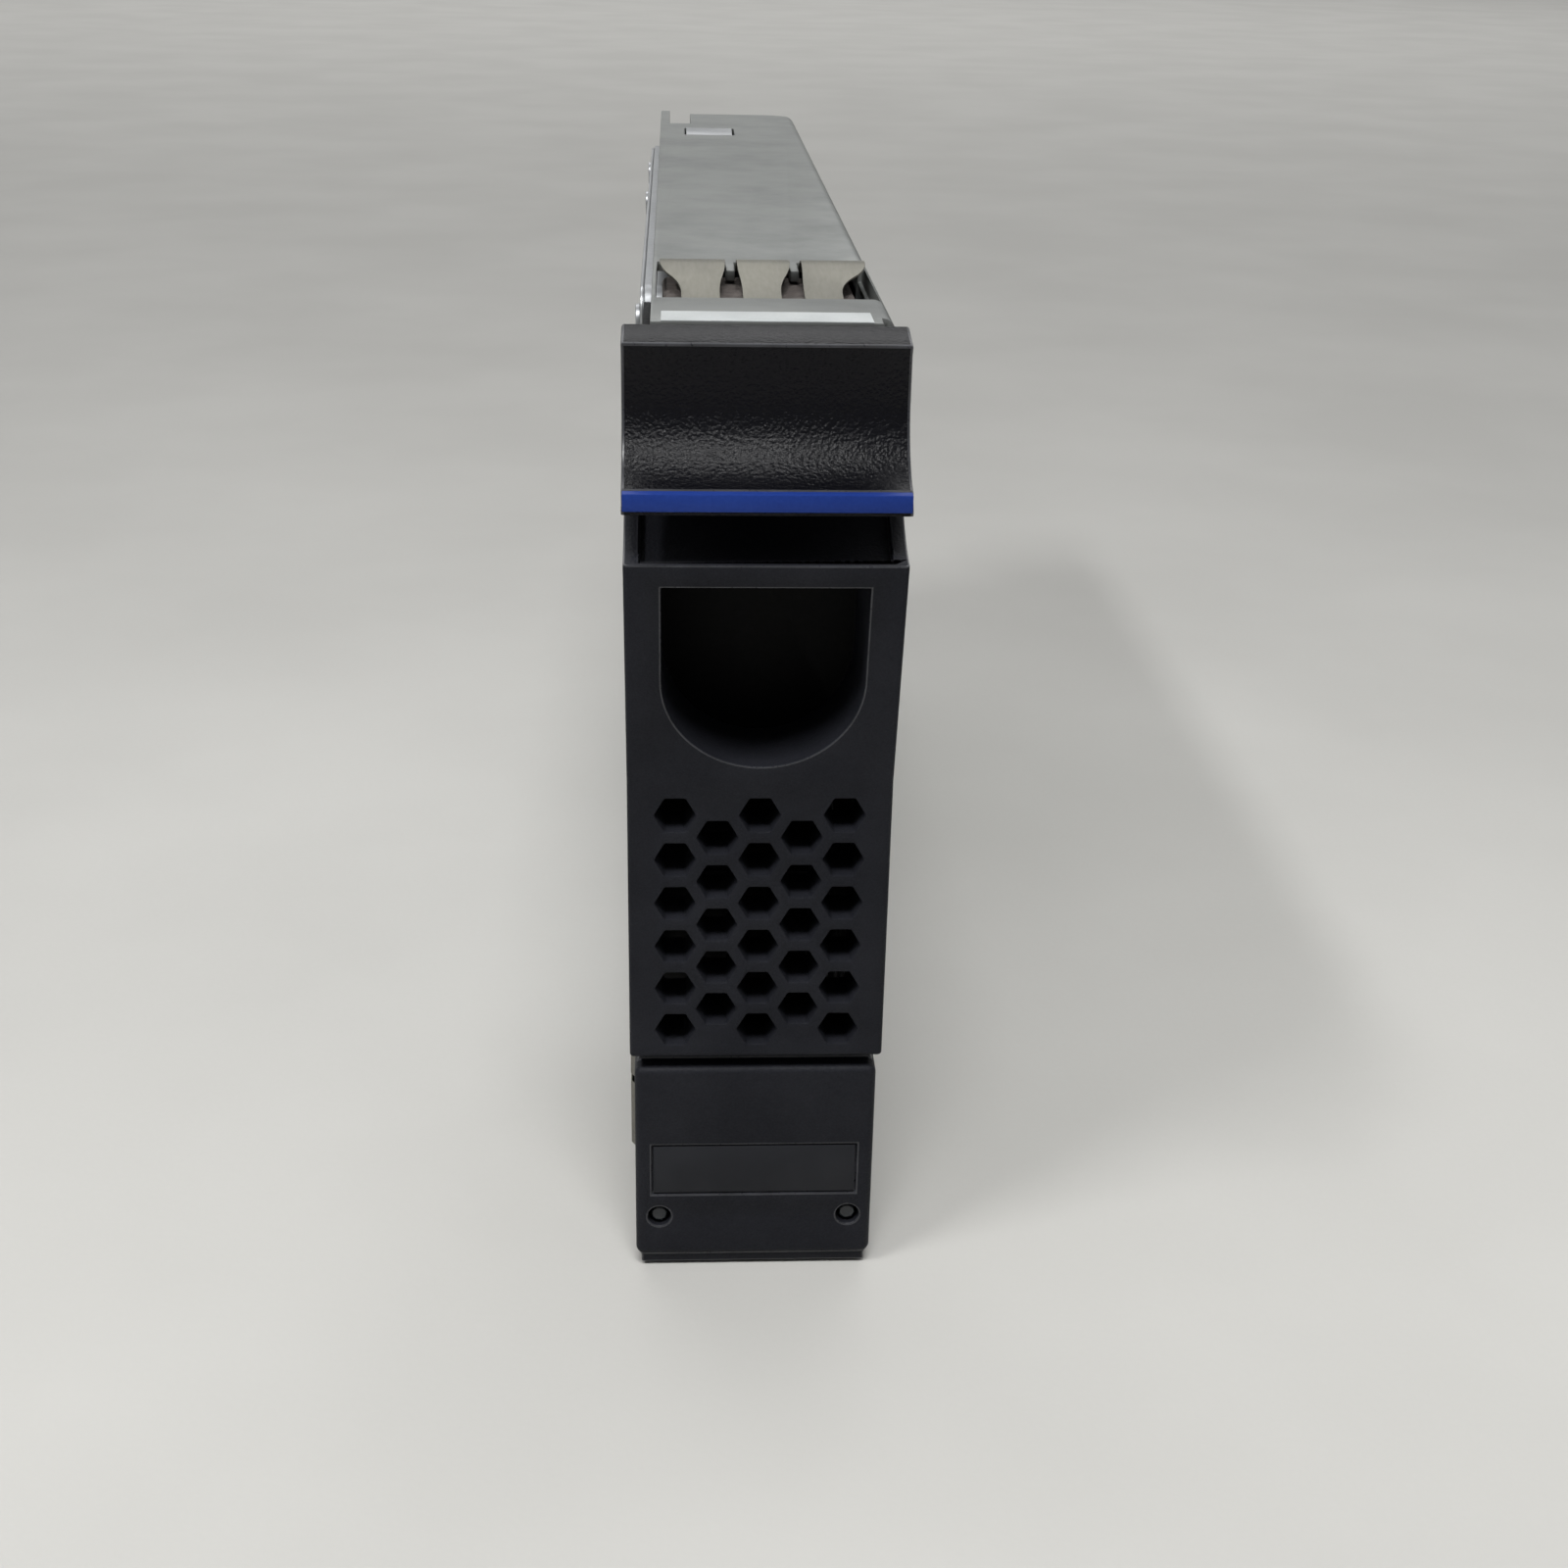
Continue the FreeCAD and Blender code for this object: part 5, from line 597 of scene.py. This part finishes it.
# Moulded epoxy: near black and matt.
chip_epoxy = plain_finish("moulded epoxy", "18191B", "242527", blotch=0.003, grain=0.0002, depth=0.000008,
                          rough=(0.5, 0.62))
eased("board_chips", "chip_bodies", chip_epoxy, "carrier", "chip_plastic", edge=0.00015)
# Glass filled nylon: black, with a dry sheen.
connector_nylon = plain_finish("glass filled nylon", "141517", "1F2023", blotch=0.004, grain=0.0003,
                               depth=0.00001, rough=(0.45, 0.58))
eased("drive_plug", "plug_housing", connector_nylon, "carrier", "connector_plastic", edge=0.00012)
eased("card_socket", "socket_housing", connector_nylon, "carrier", "connector_plastic", edge=0.00012)
eased("shelf_plug", "shelf_housing", connector_nylon, "carrier", "connector_plastic", edge=0.00018)
to_back = Vector((0.0, 1.0, 0.0))
socket_screws("board_screws", "board_fixings", to_right, across=0.0017, deep=0.0005, edge=0.00012)
socket_screws("card_screws", "card_fixings", to_back, across=0.0022, deep=0.0009, edge=0.0001)
# Tinted epoxy: a glassy, pale green lens.
lamp_epoxy = plain_finish("tinted lamp epoxy", "B9C7A8", "C9D6B8", blotch=0.001, grain=0.0003,
                          depth=0.000002, rough=(0.12, 0.2))
eased("status_lamps", "lamp_bodies", lamp_epoxy, "carrier", "lamp_plastic", edge=0.0002, steps=3)


def standing(places, out, along):
    """Moves that stand a block at each place, facing out, with its length along a direction."""
    turn = Matrix((along, out.cross(along), out)).transposed().to_4x4()
    return [Matrix.Translation(place) @ turn for place in places]


def row(first, step, count):
    """Evenly spaced spots from a first one."""
    return [(first[0] + step[0] * index, first[1] + step[1] * index) for index in range(count)]


card_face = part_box("bridge_card")[1][1]
board_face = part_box("drive_board")[1][0]


def on_card(spots):
    """Places on the back of the bridge card, from spots across it and up it."""
    return [Vector((x, card_face, z)) for x, z in spots]


def on_board(spots):
    """Places on the right face of the drive's board, from spots along it and up it."""
    return [Vector((board_face, y, z)) for y, z in spots]


along_x = Vector((1.0, 0.0, 0.0))
along_y = Vector((0.0, 1.0, 0.0))
along_z = Vector((0.0, 0.0, 1.0))
card_columns = row(first=(-0.0088, 0.034), step=(0.0, 0.0026), count=9)
card_columns += row(first=(-0.0088, 0.064), step=(0.0, 0.0026), count=7)
card_columns += row(first=(0.0048, 0.0345), step=(0.0, 0.003), count=5)
card_rows = row(first=(-0.0085, 0.0925), step=(0.0022, 0.0), count=6)
card_rows += row(first=(-0.0085, 0.0225), step=(0.0022, 0.0), count=4)
board_rows = row(first=(0.0265, 0.0805), step=(0.0022, 0.0), count=8)
board_rows += row(first=(0.05, 0.0265), step=(0.0022, 0.0), count=7)
board_columns = row(first=(0.0695, 0.0315), step=(0.0, 0.0024), count=8)
board_columns += row(first=(0.0285, 0.0335), step=(0.0, 0.0024), count=6)
part_moves = standing(on_card(card_columns), to_back, along_x)
part_moves += standing(on_card(card_rows), to_back, along_z)
part_moves += standing(on_board(board_rows), to_right, along_z)
part_moves += standing(on_board(board_columns), to_right, along_y)
# Fired ceramic and tinned ends: the small parts read as tan grains with bright tips.
part_ceramic = plain_finish("fired ceramic", "8A6A4A", "9C7B58", blotch=0.001, grain=0.0003, depth=0.000004,
                            rough=(0.4, 0.5))
part = small_block("part", sizes=(0.0011, 0.0009, 0.0007), edge=0.0001)
finished(repeated(part, "ceramic_parts", part_moves), part_ceramic, "carrier", "chip_plastic")
tinned_copper = plain_finish("tinned copper", "B4B5B6", "CFD0D1", blotch=0.001, grain=0.0003, depth=0.000006,
                             rough=(0.22, 0.34), Metallic=1.0)
tip_reach = 0.0007
tip_shifts = [Matrix.Translation((reach, 0.0, 0.0)) for reach in (-tip_reach, tip_reach)]
tip_moves = [move @ shift for move in part_moves for shift in tip_shifts]
tip = small_block("tip", sizes=(0.0004, 0.00095, 0.00074), edge=0.00008)
finished(repeated(tip, "part_tips", tip_moves), tinned_copper, "carrier", "screw_steel")

# Two flat chips on the card and one on the board, with bent legs down two sides of each.
chip_moves = standing(on_card([(-0.0035, 0.0128), (-0.0015, 0.0965)]), to_back, along_x)
chip_moves += standing(on_board([(0.0475, 0.0575)]), to_right, along_y)
chip = small_block("flat_chip", sizes=(0.0062, 0.0048, 0.0011), edge=0.00025)
finished(repeated(chip, "flat_chips", chip_moves), chip_epoxy, "carrier", "chip_plastic")
leg_pitch = 0.00127
leg_reach = 0.00285
leg_rise = 0.00045
leg = small_block("leg", sizes=(0.0004, 0.0012, 0.00025), edge=0.00006)
for point in leg.data.vertices:
    point.select = point.co.y < 0.0
bpy.ops.object.mode_set(mode="EDIT")
bpy.ops.mesh.select_mode(type="VERT")
bpy.ops.transform.translate(value=(0.0, 0.0, leg_rise))
bpy.ops.object.mode_set(mode="OBJECT")
leg_shifts = [Matrix.Translation((leg_pitch * step, leg_reach, 0.0)) for step in (-1.5, -0.5, 0.5, 1.5)]
leg_moves = []
for move in chip_moves:
    for half_turn in (0.0, math.pi):
        swing = Matrix.Rotation(half_turn, 4, "Z")
        leg_moves += [move @ swing @ shift for shift in leg_shifts]
finished(repeated(leg, "chip_legs", leg_moves), tinned_copper, "carrier", "screw_steel")

# Gold contacts down both sides of the shelf connector's blade: thin, bright yellow bars.
gold_flash = plain_finish("gold flashed bronze", "B88A3A", "D0A24C", blotch=0.002, grain=0.0004,
                          depth=0.000003, rough=(0.22, 0.3), Metallic=1.0)
blade = middle_of("shelf_plug")
blade_half = 0.0011
contact_inset = 0.0038
contact_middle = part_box("shelf_plug")[1][1] - contact_inset
contact_pitch = 0.00127
contact_count = 34
contact_moves = []
for side in (-1.0, 1.0):
    for index in range(contact_count):
        height = blade.z + contact_pitch * (index - (contact_count - 1) / 2)
        spot = Vector((blade.x + blade_half * side, contact_middle, height))
        contact_moves += standing([spot], to_right * side, along_y)
contact = small_block("strip", sizes=(0.0044, 0.0007, 0.00012), edge=0.00004)
finished(repeated(contact, "gold_contacts", contact_moves), gold_flash, "carrier", "copper_wire")

# A strip of glossy amber film brings the motor's leads out to the board.
flex_film = plain_finish("amber polyimide film", "A4601C", "B87428", blotch=0.004, grain=0.0004,
                         depth=0.000004, rough=(0.25, 0.35))
motor_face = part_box("spindle_motor")[1][0]
flex_reach = 0.0075
flex_place = Vector((motor_face, spindle_spot.y + flex_reach, spindle_spot.z))
flex = small_block("motor_flex", sizes=(0.0165, 0.0062, 0.00018), edge=0.00004)
flex.data.transform(standing([flex_place], to_right, along_y)[0])
finished(flex, flex_film, "carrier", "copper_wire")

# Light pipes
# Two bent acrylic rods bring the lamps' light from the card at the back to the holes in the
# front. Their front ends lie in channels of the lower cap.

# Clear acrylic with dark plastic around it: a glassy grey end that takes a small highlight. Its
# dark grey colour is painted shade, for the dark seen through the clear rod.
acrylic_with_painted_shade, tree = new_finish("acrylic with painted shade")[:2]
shader = add(tree, "BsdfPrincipled", {}, {"Base Color": linear("282C30"), "Roughness": 0.12, "IOR": 1.49,
                                          "Transmission Weight": 0.3})
add(tree, "OutputMaterial", {}, {"Surface": shader.outputs[0]})
eased("light_pipe_left", "left_pipe", acrylic_with_painted_shade, "carrier", "clear_plastic", edge=0.0003, steps=4)
eased("light_pipe_right", "right_pipe", acrylic_with_painted_shade, "carrier", "clear_plastic", edge=0.0003, steps=4)

# Front bezel, lower cap and plate
# The front is moulded in black plastic with a spark-eroded grain. Screws from behind hold it,
# and a thin plate lies in the recess of the lower cap.


def grained_plastic(name, deep, top, grain, depth, rough, shine):
    """Moulded plastic with a leathery grain: tiny raised pads that glint where light grazes."""
    handled_patch = 0.012
    pad_rise = 0.8
    pits_to_a_pad = 1.6
    wear_share = 0.35
    made, tree, place = new_finish(name)
    pads = add(tree, "TexVoronoi", {"feature": "SMOOTH_F1"},
               {"Vector": place, "Scale": 1 / grain, "Smoothness": 0.6})
    pits = add(tree, "TexNoise", {},
               {"Vector": place, "Scale": pits_to_a_pad / grain, "Detail": 3.0, "Roughness": 0.6})
    height = add(tree, "Math", {"operation": "MULTIPLY_ADD"},
                 {0: pads.outputs["Distance"], 1: -pad_rise, 2: pits.outputs[0]})
    handled = add(tree, "TexNoise", {}, {"Vector": place, "Scale": 1 / handled_patch, "Detail": 5.0})
    worn = add(tree, "MapRange", {}, {"Value": handled.outputs[0], "From Min": 0.35, "From Max": 0.7})
    speck = add(tree, "Math", {"operation": "MULTIPLY_ADD"},
                {0: worn.outputs[0], 1: wear_share, 2: pits.outputs[0]})
    tone = add(tree, "MapRange", {}, {"Value": speck.outputs[0], "From Min": 0.35, "From Max": 0.95})
    shade = add(tree, "Mix", {"data_type": "RGBA"},
                {0: tone.outputs[0], 6: linear(deep), 7: linear(top)})
    gloss = add(tree, "MapRange", {}, {"Value": worn.outputs[0], "To Min": rough[1], "To Max": rough[0]})
    relief = add(tree, "Bump", {}, {"Height": height.outputs[0], "Distance": depth, "Strength": 1.0})
    shader = add(tree, "BsdfPrincipled", {}, {"Base Color": shade.outputs[2], "Roughness": gloss.outputs[0],
                                              "Normal": relief.outputs[0], "Specular IOR Level": shine})
    add(tree, "OutputMaterial", {}, {"Surface": shader.outputs[0]})
    return made


# Black ABS from a spark-eroded mould: an even charcoal black that takes no sharp highlight. Its
# grain is drawn 0.3 mm wide, coarser than the real one, so that it shows.
black_plastic = grained_plastic("black grained ABS", "18191E", "25262B", grain=0.0003, depth=0.00004,
                                rough=(0.45, 0.55), shine=0.1)
# Where hands and shelves rub the edges the grain is polished away. Their lighter colour is also a
# painted highlight, so the edges draw thin bright lines.
rubbed_and_highlit_plastic = plain_finish("rubbed black ABS with painted highlight", "26272B", "34353A", blotch=0.003, grain=0.0004,
                              depth=0.00001, rough=(0.26, 0.36), Specular_IOR_Level=0.5)
# The hollow under the handle runs right up to a thin lip along the bezel's top edge.
hollow_axis = Vector((0.0, -0.1145, 0.10395))
hollow_radius = 0.0174
hollow_width = 0.0252
lip_back = -0.11165
bar_back = -0.1096
bezel = merged_copy("front_bezel", "bezel_moulding")
bpy.ops.object.select_all(action="DESELECT")
bpy.ops.mesh.primitive_cylinder_add(vertices=256, radius=hollow_radius, depth=hollow_width,
                                    location=hollow_axis, rotation=(0.0, math.pi / 2, 0.0))
scoop = bpy.context.object
bpy.ops.object.mode_set(mode="EDIT")
bpy.ops.mesh.bisect(plane_co=(0.0, lip_back, 0.0), plane_no=(0.0, 1.0, 0.0), clear_inner=True, use_fill=True)
bpy.ops.mesh.select_all(action="SELECT")
bpy.ops.mesh.bisect(plane_co=(0.0, bar_back, 0.0), plane_no=(0.0, 1.0, 0.0), clear_outer=True, use_fill=True)
bpy.ops.object.mode_set(mode="OBJECT")
carve(bezel, scoop)
break_edges(bezel, edge=0.00018, rubbed=rubbed_and_highlit_plastic)
# Nothing rubs the edges of the grille's holes, so they keep the grain and get no painted highlight.
grille_side = 0.0125
grille_foot = 0.03
grille_head = 0.0637
for face in bezel.data.polygons:
    if abs(face.center.x) < grille_side and grille_foot < face.center.z < grille_head:
        face.material_index = 0
finished(bezel, black_plastic, "carrier", "black_plastic", "front_bezel")
eased("lower_cap", "cap_moulding", black_plastic, "carrier", "black_plastic", edge=0.00022,
      rubbed=rubbed_and_highlit_plastic)
# Satin film: a flat dark grey, smoother than the moulding around it.
plate_film = plain_finish("satin polyester film", "212226", "26272B", blotch=0.006, grain=0.0003,
                          depth=0.000004, rough=(0.36, 0.44), Specular_IOR_Level=0.15)
eased("name_plate", "plate_film", plate_film, "carrier", "black_plastic", edge=0.00008)
dress(bright_zinc, "bezel_screws")

# Handle and catch
# The handle is a lever on a steel pin, moulded in a glossier black plastic than the bezel, with a
# blue inlay along its lip. A sprung catch behind the scoop hooks the bezel.

# Glass filled polycarbonate: almost black, with glints on a raised grain. The real grain is about
# 0.25 mm wide, and it is drawn a little coarser so that it shows.
handle_plastic = grained_plastic("black glass filled polycarbonate", "020206", "04040A", grain=0.0004,
                                 depth=0.00009, rough=(0.2, 0.26), shine=0.18)
eased("handle", "handle_lever", handle_plastic, "handle", "black_plastic", edge=0.0003,
      rubbed=rubbed_and_highlit_plastic)
eased("release_catch", "catch_slider", black_plastic, "catch", "black_plastic", edge=0.00015)
# Blue ABS: a strong, flat blue with a smooth skin.
blue_plastic = grained_plastic("blue ABS", "1A337C", "203A84", grain=0.0005, depth=0.00001,
                               rough=(0.35, 0.42), shine=0.15)
eased("blue_strip", "blue_inlay", blue_plastic, "handle", "blue_plastic", edge=0.00008)
# The leaf spring over the catch flattens as the catch is lifted; here it is a plain copy with a mesh of its
# own.
leaf = merged_copy("catch_spring", "catch_leaf")
finished(leaf, spring_steel, "handle", "spring_steel", "catch_spring")
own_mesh(leaf)
eased("hinge_pin", "pin", bright_zinc, "carrier", "screw_steel", edge=0.0002, steps=3)
